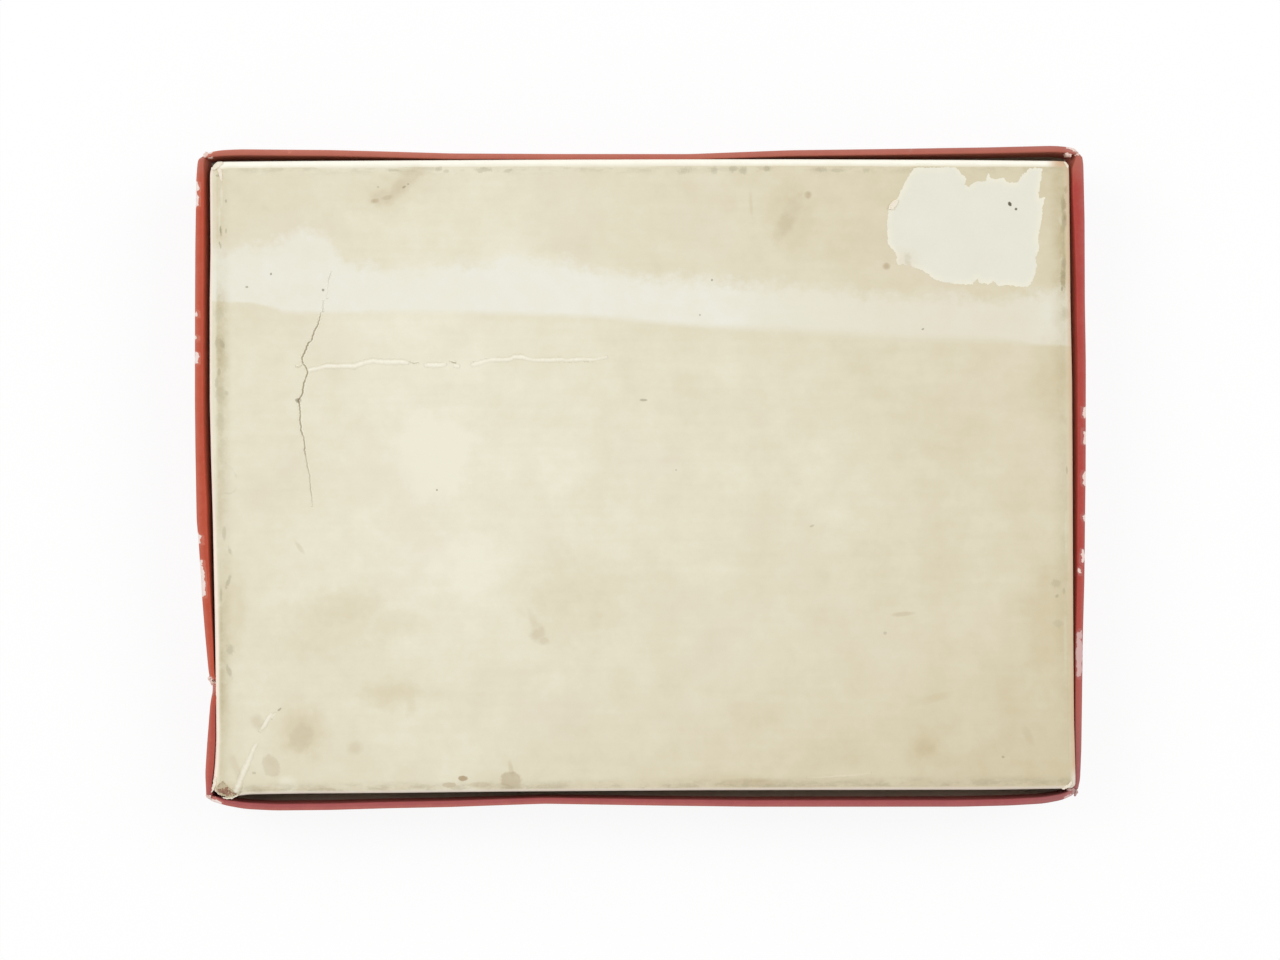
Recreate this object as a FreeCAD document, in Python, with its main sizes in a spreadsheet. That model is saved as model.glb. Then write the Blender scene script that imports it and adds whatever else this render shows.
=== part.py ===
import FreeCAD, Part
import math
import os
import re

import Sketcher

# A telescoping set-up game box, lying on its lid with the tray's underside up, and the game packed in it.
# Millimetres. X runs along the long side, Y along the short side, Z up out of the tray's underside.
# The origin is the middle of the lid's outer face, on the surface that the box lies on.

# Driving dimensions: alias, value, meaning.
SIZES = [
    ("tray_length", 355.0, "tray, long side, outside of its paper"),
    ("tray_width", 261.0, "tray, short side, outside of its paper"),
    ("tray_depth", 38.0, "tray, from its underside to its rim"),
    ("lid_depth", 39.0, "lid, from its outer face to its rim"),
    ("fit_gap", 0.7, "gap on each side between the tray and the lid round it"),
    ("board", 2.0, "chipboard of lid and tray"),
    ("paper", 0.2, "covering paper of lid and tray"),
    ("corner_round", 1.6, "radius of an upright chipboard corner"),
    ("fold_round", 1.2, "outer radius of the fold between panel and wall"),
    ("seam_gap", 0.3, "gap where two chipboard walls butt at a corner"),
    ("stay_tape", 0.2, "corner stay, thickness, pressed flush into the chipboard"),
    ("stay_reach", 20.0, "corner stay, length along each wall"),
    ("stay_foot", 4.0, "corner stay, height of its lower end above the panel's outer face"),
    ("turn_in", 14.0, "side strip turned in over the rim"),
    ("turn_over", 10.0, "side strip turned over onto the panel"),
    ("sheet_margin", 2.8, "panel sheet, distance from the box's edge"),
    ("sheet_step", 0.5, "panel sheet, slope where it steps down off the side strip"),
    ("rule_length", 240.0, "rule sheet, folded, along X"),
    ("rule_width", 170.0, "rule sheet, folded, along Y"),
    ("rule_leaf", 0.15, "rule sheet, thickness of one leaf"),
    ("rule_fold", 0.2, "rule sheet, gap between its two leaves"),
    ("screen_width", 210.0, "screen between the players, along Y"),
    ("screen_thick", 2.0, "screen, thickness"),
    ("grid_pitch", 11.5, "side of one square of a playing grid"),
    ("plan_thick", 2.4, "playing board, thickness without its printed sheet"),
    ("plan_gap", 2.0, "gap between the two playing boards"),
    ("plan_round", 3.0, "corner radius of boards and screen"),
    ("stack_gap", 3.0, "room round the flat goods inside the tray"),
    ("divider", 1.6, "divider card, thickness"),
    ("divider_gap", 0.4, "gap round a divider card and in its half-lap slots"),
    ("ship_beam", 8.6, "width of a ship"),
    ("ship_gap", 1.5, "length that a ship stays short of its squares"),
    ("ship_row", 14.0, "distance between ships lying side by side"),
    ("hull_height", 5.0, "height of a ship's hull"),
    ("bow_length", 10.0, "length of a pointed bow"),
    ("stern_length", 3.0, "length of a narrowed stern"),
    ("transom", 4.4, "width of the flat stern"),
    ("house_height", 2.6, "height of a deckhouse"),
    ("house_width", 4.8, "width of a deckhouse"),
    ("bridge_height", 3.4, "height of a bridge above its deck"),
    ("bridge_width", 3.6, "width of a bridge"),
    ("funnel_height", 6.4, "height of a funnel above the hull"),
    ("funnel_diameter", 3.0, "diameter of a funnel"),
    ("turret_height", 2.0, "height of a gun turret"),
    ("turret_diameter", 4.4, "diameter of a gun turret"),
    ("mast_height", 9.0, "height of a mast above the hull"),
    ("mast_diameter", 1.4, "diameter of a mast"),
    ("flight_deck", 1.2, "thickness of a carrier's flight deck"),
    ("flight_edge", 0.7, "overhang of a carrier's flight deck on each side"),
    ("cube", 7.0, "side of a marker cube"),
    ("cube_gap", 5.0, "gap between neighbouring marker cubes"),
    ("foot_length", 62.0, "screen foot, along the floor"),
    ("foot_height", 16.0, "screen foot, height"),
    ("foot_thick", 14.0, "screen foot, width along the screen"),
    ("foot_slot_depth", 9.0, "screen foot, depth of its slot"),
    ("foot_slot_gap", 0.4, "screen foot, room for the screen in its slot"),
]

# Levels and outlines worked out from the driving dimensions, as expressions in their aliases.
PANEL_OUT = "2 * paper"
PANEL_IN = "(2 * paper + board)"
LID_LENGTH = "(tray_length + 2 * fit_gap + 4 * paper + 2 * board)"
LID_WIDTH = "(tray_width + 2 * fit_gap + 4 * paper + 2 * board)"
TRAY_TOP = f"({PANEL_IN} + tray_depth)"
TRAY_FLOOR = "tray_depth"
ROOM_LENGTH = "(tray_length - 4 * paper - 2 * board)"
ROOM_WIDTH = "(tray_width - 4 * paper - 2 * board)"
RULE_THICK = "(2 * rule_leaf + rule_fold)"
SCREEN_LEVEL = f"({PANEL_IN} + {RULE_THICK})"
PLAN_LEVEL = f"({SCREEN_LEVEL} + screen_thick)"
PLAN_TOP = f"({PLAN_LEVEL} + plan_thick + paper)"
SCREEN_LENGTH = f"({ROOM_LENGTH} - 2 * stack_gap)"
PLAN_WIDTH = f"({SCREEN_LENGTH} - plan_gap) / 2"
PLAN_LENGTH = f"({ROOM_WIDTH} - 2 * stack_gap)"
PLAN_CENTRE = f"(({PLAN_WIDTH} + plan_gap) / 2)"
DIVIDER_LEVEL = f"({PLAN_TOP} + divider_gap)"
DIVIDER_HEIGHT = f"({TRAY_FLOOR} - {DIVIDER_LEVEL})"
DIVIDER_LANE = f"(({ROOM_WIDTH} + divider) / 6)"
LANE_CENTRE = f"(({ROOM_WIDTH} + divider) / 3)"
WELL_CENTRE = f"({ROOM_LENGTH} / 4)"
SLOT_WIDTH = "(divider + divider_gap)"

# Ships of one fleet: name, squares covered, angle it lies at, and its fittings from stern to bow.
# A fitting is its kind, its middle as a share of the ship's length, and its length as such a share.
SHIPS = [
    ("carrier", 5, 2, [("flight_deck", -0.02, 0.9), ("island", 0.1, 0.16), ("mast", 0.0, 0.0)]),
    ("battleship", 4, -3, [("turret", -0.34, 0.0), ("house", -0.02, 0.42), ("funnel", -0.12, 0.0),
                           ("bridge", 0.1, 0.14), ("turret", 0.27, 0.0)]),
    ("cruiser", 3, 4, [("turret", -0.32, 0.0), ("house", 0.0, 0.4), ("funnel", -0.1, 0.0),
                       ("bridge", 0.1, 0.16)]),
    ("submarine", 3, -2, [("tower", 0.04, 0.24), ("mast", 0.04, 0.0)]),
    ("destroyer", 2, 5, [("house", -0.08, 0.44), ("funnel", -0.18, 0.0)]),
]
FLEETS = [("red", -1), ("blue", 1)]
MARKERS = [("hit_markers", -1), ("miss_markers", 1)]
MARKER_COLUMNS = 8
MARKER_ROWS = 4
# Marker cubes lie turned by steps of this angle, kept within the swing to each side.
MARKER_TURN = 37
MARKER_SWING = 30

doc = FreeCAD.newDocument("game_box")
sheet = doc.addObject("Spreadsheet::Sheet", "Sizes")
ALIAS_PATTERN = re.compile(r"\b(" + "|".join(alias for alias, _, _ in SIZES) + r")\b")
pieces = []


def fill_sheet():
    for row, (alias, number, meaning) in enumerate(SIZES, start=1):
        sheet.set(f"A{row}", meaning)
        sheet.set(f"B{row}", str(number))
        sheet.setAlias(f"B{row}", alias)
    doc.recompute()


def bound(expression):
    """The expression with each alias pointing at its cell."""
    return ALIAS_PATTERN.sub(r"Sizes.\1", str(expression))


def number_of(expression):
    return float(sheet.evalExpression(bound(expression)))


def bind(item, **expressions):
    """Binds properties to expressions; a double underscore stands for a dot in the property's path."""
    for path, expression in expressions.items():
        item.setExpression(path.replace("__", "."), bound(expression))


def keep(item, x="0", y="0", z="0"):
    """Marks a finished sub-part and places it."""
    bind(item, Placement__Base__x=x, Placement__Base__y=y, Placement__Base__z=z)
    pieces.append(item)
    return item


def new_body(name):
    body = doc.addObject("PartDesign::Body", name)
    body.Label = name
    return body


def new_sketch(body, name, level="0", plane="XY_Plane"):
    support = next(item for item in body.Origin.OriginFeatures if item.Role == plane)
    sketch = body.newObject("Sketcher::SketchObject", f"{body.Name}_{name}")
    sketch.AttachmentSupport = (support, [""])
    sketch.MapMode = "FlatFace"
    bind(sketch, AttachmentOffset__Base__z=level)
    return sketch


def measure(sketch, kind, *where, as_size):
    """Adds a dimension to the sketch and binds it to an expression."""
    index = sketch.addConstraint(Sketcher.Constraint(kind, *where, number_of(as_size)))
    bind(sketch, **{f"Constraints[{index}]": as_size})


def add_rectangle(sketch, length, width, radius=None, x="0", y="0"):
    """A rectangle about (x, y), with round corners where a radius is given."""
    half_l, half_w = number_of(length) / 2, number_of(width) / 2
    at_x, at_y = number_of(x), number_of(y)
    r = number_of(radius) if radius else 0.0
    first = sketch.GeometryCount

    def point(px, py):
        return FreeCAD.Vector(at_x + px, at_y + py, 0)

    ends = [
        (point(-half_l + r, -half_w), point(half_l - r, -half_w)),
        (point(half_l, -half_w + r), point(half_l, half_w - r)),
        (point(half_l - r, half_w), point(-half_l + r, half_w)),
        (point(-half_l, half_w - r), point(-half_l, -half_w + r)),
    ]
    for start, end in ends:
        sketch.addGeometry(Part.LineSegment(start, end), False)
    for side in (0, 2):
        sketch.addConstraint(Sketcher.Constraint("Horizontal", first + side))
        sketch.addConstraint(Sketcher.Constraint("Vertical", first + side + 1))
    if radius:
        centres = [
            point(half_l - r, -half_w + r),
            point(half_l - r, half_w - r),
            point(-half_l + r, half_w - r),
            point(-half_l + r, -half_w + r),
        ]
        for corner, centre in enumerate(centres):
            circle = Part.Circle(centre, FreeCAD.Vector(0, 0, 1), r)
            begin = math.pi / 2 * (corner - 1)
            arc = sketch.addGeometry(Part.ArcOfCircle(circle, begin, begin + math.pi / 2), False)
            following = first + (corner + 1) % 4
            sketch.addConstraint(Sketcher.Constraint("Tangent", first + corner, 2, arc, 1))
            sketch.addConstraint(Sketcher.Constraint("Tangent", arc, 2, following, 1))
            if corner:
                sketch.addConstraint(Sketcher.Constraint("Equal", first + 4, arc))
        measure(sketch, "Radius", first + 4, as_size=radius)
    else:
        for corner in range(4):
            following = first + (corner + 1) % 4
            sketch.addConstraint(Sketcher.Constraint("Coincident", first + corner, 2, following, 1))
    measure(sketch, "DistanceX", first + 3, 1, first + 1, 1, as_size=length)
    measure(sketch, "DistanceY", first, 1, first + 2, 1, as_size=width)
    measure(sketch, "DistanceX", -1, 1, first + 1, 1, as_size=f"({x}) + ({length}) / 2")
    measure(sketch, "DistanceY", -1, 1, first + 2, 1, as_size=f"({y}) + ({width}) / 2")


def add_circle(sketch, diameter, x="0", y="0"):
    centre = FreeCAD.Vector(number_of(x), number_of(y), 0)
    circle = Part.Circle(centre, FreeCAD.Vector(0, 0, 1), number_of(diameter) / 2)
    index = sketch.addGeometry(circle, False)
    measure(sketch, "Diameter", index, as_size=diameter)
    measure(sketch, "DistanceX", -1, 1, index, 3, as_size=x)
    measure(sketch, "DistanceY", -1, 1, index, 3, as_size=y)


def pad(body, sketch, height):
    feature = body.newObject("PartDesign::Pad", f"{sketch.Name}_pad")
    feature.Profile = sketch
    bind(feature, Length=height)
    sketch.Visibility = False
    return feature


def pocket(body, sketch, depth, upward=False):
    feature = body.newObject("PartDesign::Pocket", f"{sketch.Name}_pocket")
    feature.Profile = sketch
    feature.Reversed = upward
    bind(feature, Length=depth)
    sketch.Visibility = False
    return feature


def pad_rectangle(body, name, length, width, height, radius=None, level="0", x="0", y="0"):
    sketch = new_sketch(body, name, level)
    add_rectangle(sketch, length, width, radius, x, y)
    return pad(body, sketch, height)


def pocket_rectangle(body, name, length, width, depth, radius=None, level="0", upward=False):
    sketch = new_sketch(body, name, level)
    add_rectangle(sketch, length, width, radius)
    return pocket(body, sketch, depth, upward)


def pad_circle(body, name, diameter, height, level="0", x="0", y="0"):
    sketch = new_sketch(body, name, level)
    add_circle(sketch, diameter, x, y)
    return pad(body, sketch, height)


def fillet_level(body, name, level, radius, reach):
    """Rounds the edges of the tip that lie in one level, within reach of the outline's corner (x, y)."""
    doc.recompute()
    tip = body.Tip
    at = number_of(level)
    half_l, half_w = (number_of(size) / 2 for size in reach)
    close = 1e-4
    names = []
    for index, edge in enumerate(tip.Shape.Edges, start=1):
        box = edge.BoundBox
        flat = abs(box.ZMin - at) < close and abs(box.ZMax - at) < close
        far_x, far_y = max(abs(box.XMin), abs(box.XMax)), max(abs(box.YMin), abs(box.YMax))
        on_outline = abs(far_x - half_l) < close or abs(far_y - half_w) < close
        inside = far_x < half_l + close and far_y < half_w + close
        corner = number_of("corner_round")
        short = edge.Length < 2 * number_of("corner_round + paper")
        round_corner = short and edge.Curve.TypeId == "Part::GeomCircle"
        near_corner = far_x > half_l - corner and far_y > half_w - corner
        if flat and inside and (on_outline or (round_corner and near_corner)):
            names.append(f"Edge{index}")
    feature = body.newObject("PartDesign::Fillet", f"{body.Name}_{name}")
    feature.Base = (tip, names)
    bind(feature, Radius=radius)
    return feature


# One half of a set-up box, built with its panel down and its walls up: a chipboard blank folded up and
# butted at the corners, stays of tape round the corners, a paper strip round the walls and a paper sheet on
# the panel.


def wall_outline(length, width, inset):
    return f"({length} - 2 * ({inset}))", f"({width} - 2 * ({inset}))"


def make_board(name, length, width, depth):
    body = new_body(name)
    outside = wall_outline(length, width, "paper")
    core = wall_outline(length, width, "paper + stay_tape")
    room = wall_outline(length, width, "paper + board")
    stay_level = f"({PANEL_OUT} + stay_foot)"
    stay_height = f"({depth} - paper - {stay_level})"
    pad_rectangle(body, "foot", *outside, "stay_foot", "corner_round", PANEL_OUT)
    pad_rectangle(body, "core", *core, stay_height, "corner_round - stay_tape", stay_level)
    between = [f"{side} - 2 * stay_reach" for side in outside]
    pad_rectangle(body, "long_walls", between[0], outside[1], stay_height, None, stay_level)
    pad_rectangle(body, "short_walls", outside[0], between[1], stay_height, None, stay_level)
    room_depth = f"({depth} - paper - {PANEL_IN})"
    pocket_rectangle(body, "room", *room, room_depth, None, f"{depth} - paper")
    seams = new_sketch(body, "seams", f"{depth} - paper")
    for side in ("", "-"):
        add_rectangle(seams, outside[0], "seam_gap", None, "0", f"{side}({room[1]} - seam_gap) / 2")
    pocket(body, seams, room_depth)
    fillet_level(body, "fold", PANEL_OUT, "fold_round", outside)
    return body


def make_stays(name, length, width, depth):
    body = new_body(name)
    outside = wall_outline(length, width, "paper")
    core = wall_outline(length, width, "paper + stay_tape")
    stay_level = f"({PANEL_OUT} + stay_foot)"
    stay_top = f"({depth} - paper)"
    height = f"({stay_top} - {stay_level})"
    pad_rectangle(body, "wrap", *outside, height, "corner_round", stay_level)
    pocket_rectangle(body, "core", *core, height, "corner_round - stay_tape", stay_top)
    pocket_rectangle(body, "long_walls", f"{outside[0]} - 2 * stay_reach", width, height, None, stay_top)
    pocket_rectangle(body, "short_walls", length, f"{outside[1]} - 2 * stay_reach", height, None, stay_top)
    return body


def make_strip(name, length, width, depth):
    body = new_body(name)
    board_out = wall_outline(length, width, "paper")
    board_in = wall_outline(length, width, "paper + board")
    lined = wall_outline(length, width, "2 * paper + board")
    window = wall_outline(length, width, "turn_over")
    pad_rectangle(body, "wrap", length, width, f"{depth} - paper", "corner_round + paper", "paper")
    pocket_rectangle(body, "inside", *lined, f"{depth}", None, depth)
    slot = new_sketch(body, "slot", f"{depth} - paper")
    add_rectangle(slot, *board_out, "corner_round")
    add_rectangle(slot, *board_in)
    pocket(body, slot, f"{depth} - paper - {PANEL_OUT}")
    turned_in = f"{depth} - turn_in"
    pocket_rectangle(body, "below_turn_in", *board_in, f"{turned_in} - {PANEL_OUT}", None, turned_in)
    over = new_sketch(body, "turn_over", "paper")
    add_rectangle(over, *board_out, "corner_round")
    add_rectangle(over, *window)
    pad(body, over, "paper")
    fillet_level(body, "inner_fold", PANEL_OUT, "fold_round", board_out)
    fillet_level(body, "outer_fold", "paper", "fold_round + paper", (length, width))
    return body


def make_sheet(name, length, width):
    body = new_body(name)
    outline = wall_outline(length, width, "sheet_margin")
    window = wall_outline(length, width, "turn_over")
    hollow = wall_outline(length, width, "turn_over + sheet_step")
    border = new_sketch(body, "border", PANEL_OUT)
    pad_rectangle(body, "sheet", *outline, PANEL_OUT)
    add_rectangle(border, *wall_outline(length, width, "0"))
    add_rectangle(border, *window)
    pocket(body, border, "paper")
    pocket_rectangle(body, "hollow", *hollow, "paper", None, "0", upward=True)
    return body


def make_lid():
    size = (LID_LENGTH, LID_WIDTH)
    keep(make_board("lid_board", *size, "lid_depth"))
    keep(make_stays("lid_corner_stays", *size, "lid_depth"))
    keep(make_strip("lid_side_strip", *size, "lid_depth"))
    keep(make_sheet("lid_top_sheet", *size))


def make_tray():
    """The tray is the same construction as the lid, turned over and let down into it."""
    size = ("tray_length", "tray_width")
    halves = [
        make_board("tray_board", *size, "tray_depth"),
        make_stays("tray_corner_stays", *size, "tray_depth"),
        make_strip("tray_side_strip", *size, "tray_depth"),
        make_sheet("tray_base_sheet", *size),
    ]
    turned_over = FreeCAD.Rotation(FreeCAD.Vector(1, 0, 0), 180)
    for body in halves:
        body.Placement.Rotation = turned_over
        keep(body, z=TRAY_TOP)


# Divider cards, half-lapped into each other and glued on edge to the tray's floor.


def make_divider(name, length, slot_places, slots_from_top):
    body = new_body(name)
    pad_rectangle(body, "card", length, "divider", DIVIDER_HEIGHT)
    half = f"({DIVIDER_HEIGHT} + divider_gap) / 2"
    slots = new_sketch(body, "slots", DIVIDER_HEIGHT if slots_from_top else "0")
    for place in slot_places:
        add_rectangle(slots, SLOT_WIDTH, SLOT_WIDTH, None, place)
    pocket(body, slots, half, upward=not slots_from_top)
    return body


def make_dividers():
    length = f"({ROOM_LENGTH} - 2 * divider_gap)"
    width = f"({ROOM_WIDTH} - 2 * divider_gap)"
    for name, side in (("divider_long_near", "-"), ("divider_long_far", "")):
        keep(make_divider(name, length, ["0"], True), y=f"{side}{DIVIDER_LANE}", z=DIVIDER_LEVEL)
    cross = make_divider("divider_cross", width, [f"-{DIVIDER_LANE}", DIVIDER_LANE], False)
    cross.Placement.Rotation = FreeCAD.Rotation(FreeCAD.Vector(0, 0, 1), 90)
    keep(cross, z=DIVIDER_LEVEL)


# The flat goods, stacked on the inside of the lid.


def make_rule_sheet():
    """One sheet folded in half: two leaves joined by a round fold along its left edge."""
    body = new_body("rule_sheet")
    sketch = new_sketch(body, "fold", "-rule_width / 2", "XZ_Plane")
    outer, inner = number_of("rule_fold / 2 + rule_leaf"), number_of("rule_fold / 2")
    left, right = number_of("-rule_length / 2") + outer, number_of("rule_length / 2")
    centre = FreeCAD.Vector(left, outer, 0)

    def point(x, y):
        return FreeCAD.Vector(x, y, 0)

    for radius, clockwise in ((outer, False), (inner, True)):
        low, high = outer - radius, outer + radius
        sketch.addGeometry(Part.LineSegment(point(right, high), point(left, high)), False)
        circle = Part.Circle(centre, FreeCAD.Vector(0, 0, 1), radius)
        sketch.addGeometry(Part.ArcOfCircle(circle, math.pi / 2, 3 * math.pi / 2), False)
        sketch.addGeometry(Part.LineSegment(point(left, low), point(right, low)), False)
    for y_low, y_high in ((0, outer - inner), (outer + inner, 2 * outer)):
        sketch.addGeometry(Part.LineSegment(point(right, y_low), point(right, y_high)), False)
    top_out, arc_out, low_out, top_in, arc_in, low_in, end_low, end_high = range(8)
    for line in (top_out, low_out, top_in, low_in):
        sketch.addConstraint(Sketcher.Constraint("Horizontal", line))
    for line in (end_low, end_high):
        sketch.addConstraint(Sketcher.Constraint("Vertical", line))
    for top, arc, low in ((top_out, arc_out, low_out), (top_in, arc_in, low_in)):
        sketch.addConstraint(Sketcher.Constraint("Tangent", top, 2, arc, 1))
        sketch.addConstraint(Sketcher.Constraint("Tangent", arc, 2, low, 1))
    joins = [
        (end_low, 1, low_out, 2),
        (end_low, 2, low_in, 2),
        (end_high, 1, top_in, 1),
        (end_high, 2, top_out, 1),
        (arc_out, 3, arc_in, 3),
    ]
    for join in joins:
        sketch.addConstraint(Sketcher.Constraint("Coincident", *join))
    measure(sketch, "Radius", arc_in, as_size="rule_fold / 2")
    measure(sketch, "Radius", arc_out, as_size="rule_fold / 2 + rule_leaf")
    measure(sketch, "DistanceX", -1, 1, low_out, 2, as_size="rule_length / 2")
    measure(sketch, "DistanceX", -1, 1, top_in, 1, as_size="rule_length / 2")
    measure(sketch, "DistanceX", arc_out, 3, -1, 1, as_size="rule_length / 2 - rule_fold / 2 - rule_leaf")
    measure(sketch, "DistanceY", -1, 1, arc_out, 3, as_size="rule_fold / 2 + rule_leaf")
    pad(body, sketch, "rule_width")
    keep(body, z=PANEL_IN)


def make_flat_goods():
    make_rule_sheet()
    screen = new_body("screen_panel")
    pad_rectangle(screen, "card", SCREEN_LENGTH, "screen_width", "screen_thick", "plan_round")
    keep(screen, z=SCREEN_LEVEL)
    for fleet, side in FLEETS:
        place = f"{side} * {PLAN_CENTRE}"
        plan = new_body(f"playing_board_{fleet}")
        pad_rectangle(plan, "card", PLAN_WIDTH, PLAN_LENGTH, "plan_thick", "plan_round")
        keep(plan, x=place, z=PLAN_LEVEL)
        print_sheet = new_body(f"grid_sheet_{fleet}")
        pad_rectangle(print_sheet, "sheet", PLAN_WIDTH, PLAN_LENGTH, "paper", "plan_round")
        keep(print_sheet, x=place, z=f"{PLAN_LEVEL} + plan_thick")


# The fleets: small wooden ships, bow towards +X, each a little shorter than the squares it covers.


def add_hull_outline(sketch, length):
    """A pointed bow of two arcs, straight sides and a stern narrowed to a flat transom."""
    half_l, half_b = number_of(length) / 2, number_of("ship_beam") / 2
    bow, half_t = number_of("bow_length"), number_of("transom") / 2
    shoulder, quarter = half_l - bow, -half_l + number_of("stern_length")
    radius = (bow**2 + half_b**2) / (2 * half_b)
    sweep = math.asin(bow / radius)
    up = FreeCAD.Vector(0, 0, 1)

    def point(x, y):
        return FreeCAD.Vector(x, y, 0)

    corners = [(shoulder, half_b), (quarter, half_b), (-half_l, half_t)]
    corners += [(-half_l, -half_t), (quarter, -half_b), (shoulder, -half_b)]
    for start, end in zip(corners, corners[1:]):
        sketch.addGeometry(Part.LineSegment(point(*start), point(*end)), False)
    port, port_quarter, stern, starboard_quarter, starboard = range(5)
    low = Part.Circle(point(shoulder, radius - half_b), up, radius)
    low_arc = sketch.addGeometry(Part.ArcOfCircle(low, 1.5 * math.pi, 1.5 * math.pi + sweep), False)
    high = Part.Circle(point(shoulder, half_b - radius), up, radius)
    high_arc = sketch.addGeometry(Part.ArcOfCircle(high, 0.5 * math.pi - sweep, 0.5 * math.pi), False)
    for line in (port, starboard):
        sketch.addConstraint(Sketcher.Constraint("Horizontal", line))
    for line in range(4):
        sketch.addConstraint(Sketcher.Constraint("Coincident", line, 2, line + 1, 1))
    sketch.addConstraint(Sketcher.Constraint("Tangent", starboard, 2, low_arc, 1))
    sketch.addConstraint(Sketcher.Constraint("Tangent", high_arc, 2, port, 1))
    sketch.addConstraint(Sketcher.Constraint("Coincident", low_arc, 2, high_arc, 1))
    sketch.addConstraint(Sketcher.Constraint("PointOnObject", low_arc, 2, -1))
    sketch.addConstraint(Sketcher.Constraint("Symmetric", port, 2, starboard, 1, -1))
    sketch.addConstraint(Sketcher.Constraint("Symmetric", stern, 1, stern, 2, -1))
    sketch.addConstraint(Sketcher.Constraint("Equal", port, starboard))
    measure(sketch, "DistanceX", -1, 1, low_arc, 2, as_size=f"{length} / 2")
    measure(sketch, "DistanceX", stern, 1, -1, 1, as_size=f"{length} / 2")
    measure(sketch, "DistanceX", starboard, 2, low_arc, 2, as_size="bow_length")
    measure(sketch, "DistanceX", stern, 1, port, 2, as_size="stern_length")
    measure(sketch, "DistanceY", stern, 2, stern, 1, as_size="transom")
    measure(sketch, "DistanceY", starboard, 1, port, 2, as_size="ship_beam")


def add_fitting(body, name, kind, x, length):
    deck = "hull_height"
    if kind == "flight_deck":
        pad_rectangle(body, name, length, "ship_beam + 2 * flight_edge", kind, "flight_edge", deck, x)
    elif kind == "island":
        side = "(ship_beam - bridge_width) / 2"
        height = "bridge_height + flight_deck"
        pad_rectangle(body, name, length, "bridge_width", height, None, deck, x, side)
    elif kind == "house":
        pad_rectangle(body, name, length, "house_width", "house_height", None, deck, x)
    elif kind == "bridge":
        pad_rectangle(body, name, length, "bridge_width", "house_height + bridge_height", None, deck, x)
    elif kind == "tower":
        pad_rectangle(body, name, length, "bridge_width", "bridge_height", "bridge_width / 2.2", deck, x)
    elif kind == "mast":
        side = "0" if "submarine" in body.Name else "(ship_beam - bridge_width) / 2"
        pad_circle(body, name, "mast_diameter", "mast_height", deck, x, side)
    else:
        pad_circle(body, name, f"{kind}_diameter", f"{kind}_height", deck, x)


def make_ship(fleet, kind, squares, fittings):
    body = new_body(f"{fleet}_{kind}")
    length = f"({squares} * grid_pitch - ship_gap)"
    if kind == "submarine":
        pad_rectangle(body, "hull", length, "ship_beam", "hull_height", "0.48 * ship_beam")
    else:
        hull = new_sketch(body, "hull")
        add_hull_outline(hull, length)
        pad(body, hull, "hull_height")
    for number, (fitting, place, share) in enumerate(fittings):
        add_fitting(body, f"{fitting}_{number}", fitting, f"{place} * {length}", f"({share} * {length})")
    return body


def make_fleets():
    """Each fleet lies in the middle lane, its ships side by side, on its own half of the boards."""
    for fleet, side in FLEETS:
        for row, (kind, squares, angle, fittings) in enumerate(SHIPS):
            ship = make_ship(fleet, kind, squares, fittings)
            heading = 90 * (1 - side) + side * angle
            ship.Placement.Rotation = FreeCAD.Rotation(FreeCAD.Vector(0, 0, 1), heading)
            row_place = f"{row - (len(SHIPS) - 1) / 2} * ship_row"
            keep(ship, f"{side} * {WELL_CENTRE}", row_place, PLAN_TOP)


# Loose goods: marker cubes scattered in rows, and the two slotted feet that hold the screen upright.


def make_markers(name, side):
    cubes = []
    for index in range(MARKER_COLUMNS * MARKER_ROWS):
        column = index % MARKER_COLUMNS - (MARKER_COLUMNS - 1) / 2
        row = index // MARKER_COLUMNS - (MARKER_ROWS - 1) / 2
        angle = index * MARKER_TURN % (2 * MARKER_SWING) - MARKER_SWING
        cosine, sine = math.cos(math.radians(angle)), math.sin(math.radians(angle))
        cube = doc.addObject("Part::Box", f"{name}_cube_{index + 1}")
        cube.Placement.Rotation = FreeCAD.Rotation(FreeCAD.Vector(0, 0, 1), angle)
        bind(
            cube,
            Length="cube",
            Width="cube",
            Height="cube",
            Placement__Base__x=f"{column} * (cube + cube_gap) - {cosine - sine:.6f} * cube / 2",
            Placement__Base__y=f"{row} * (cube + cube_gap) - {cosine + sine:.6f} * cube / 2",
        )
        cubes.append(cube)
    group = doc.addObject("Part::Compound", name)
    group.Links = cubes
    group.Label = name
    keep(group, f"{side} * {WELL_CENTRE}", f"-{LANE_CENTRE}", PLAN_TOP)


def make_foot(name, side):
    """A wooden block with a slot across the middle of its top edge."""
    body = new_body(name)
    pad_rectangle(body, "block", "foot_length", "foot_thick", "foot_height", "plan_round")
    slot_width = "screen_thick + foot_slot_gap"
    pocket_rectangle(body, "slot", slot_width, "2 * foot_thick", "foot_slot_depth", None, "foot_height")
    keep(body, f"{side} * {WELL_CENTRE}", LANE_CENTRE, PLAN_TOP)


def make_loose_goods():
    for name, side in MARKERS:
        make_markers(name, side)
    for name, side in (("screen_foot_left", -1), ("screen_foot_right", 1)):
        make_foot(name, side)


fill_sheet()
make_lid()
make_tray()
make_dividers()
make_flat_goods()
make_fleets()
make_loose_goods()
doc.recompute()


def check_document():
    for item in doc.Objects:
        bad = {"Invalid", "Error"} & set(item.State)
        if bad:
            raise RuntimeError(f"{item.Label}: {sorted(bad)}")
    for item in pieces:
        if item.Shape.isNull() or not item.Shape.isValid() or not item.Shape.Solids:
            raise RuntimeError(f"{item.Label}: no valid solid")


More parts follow.
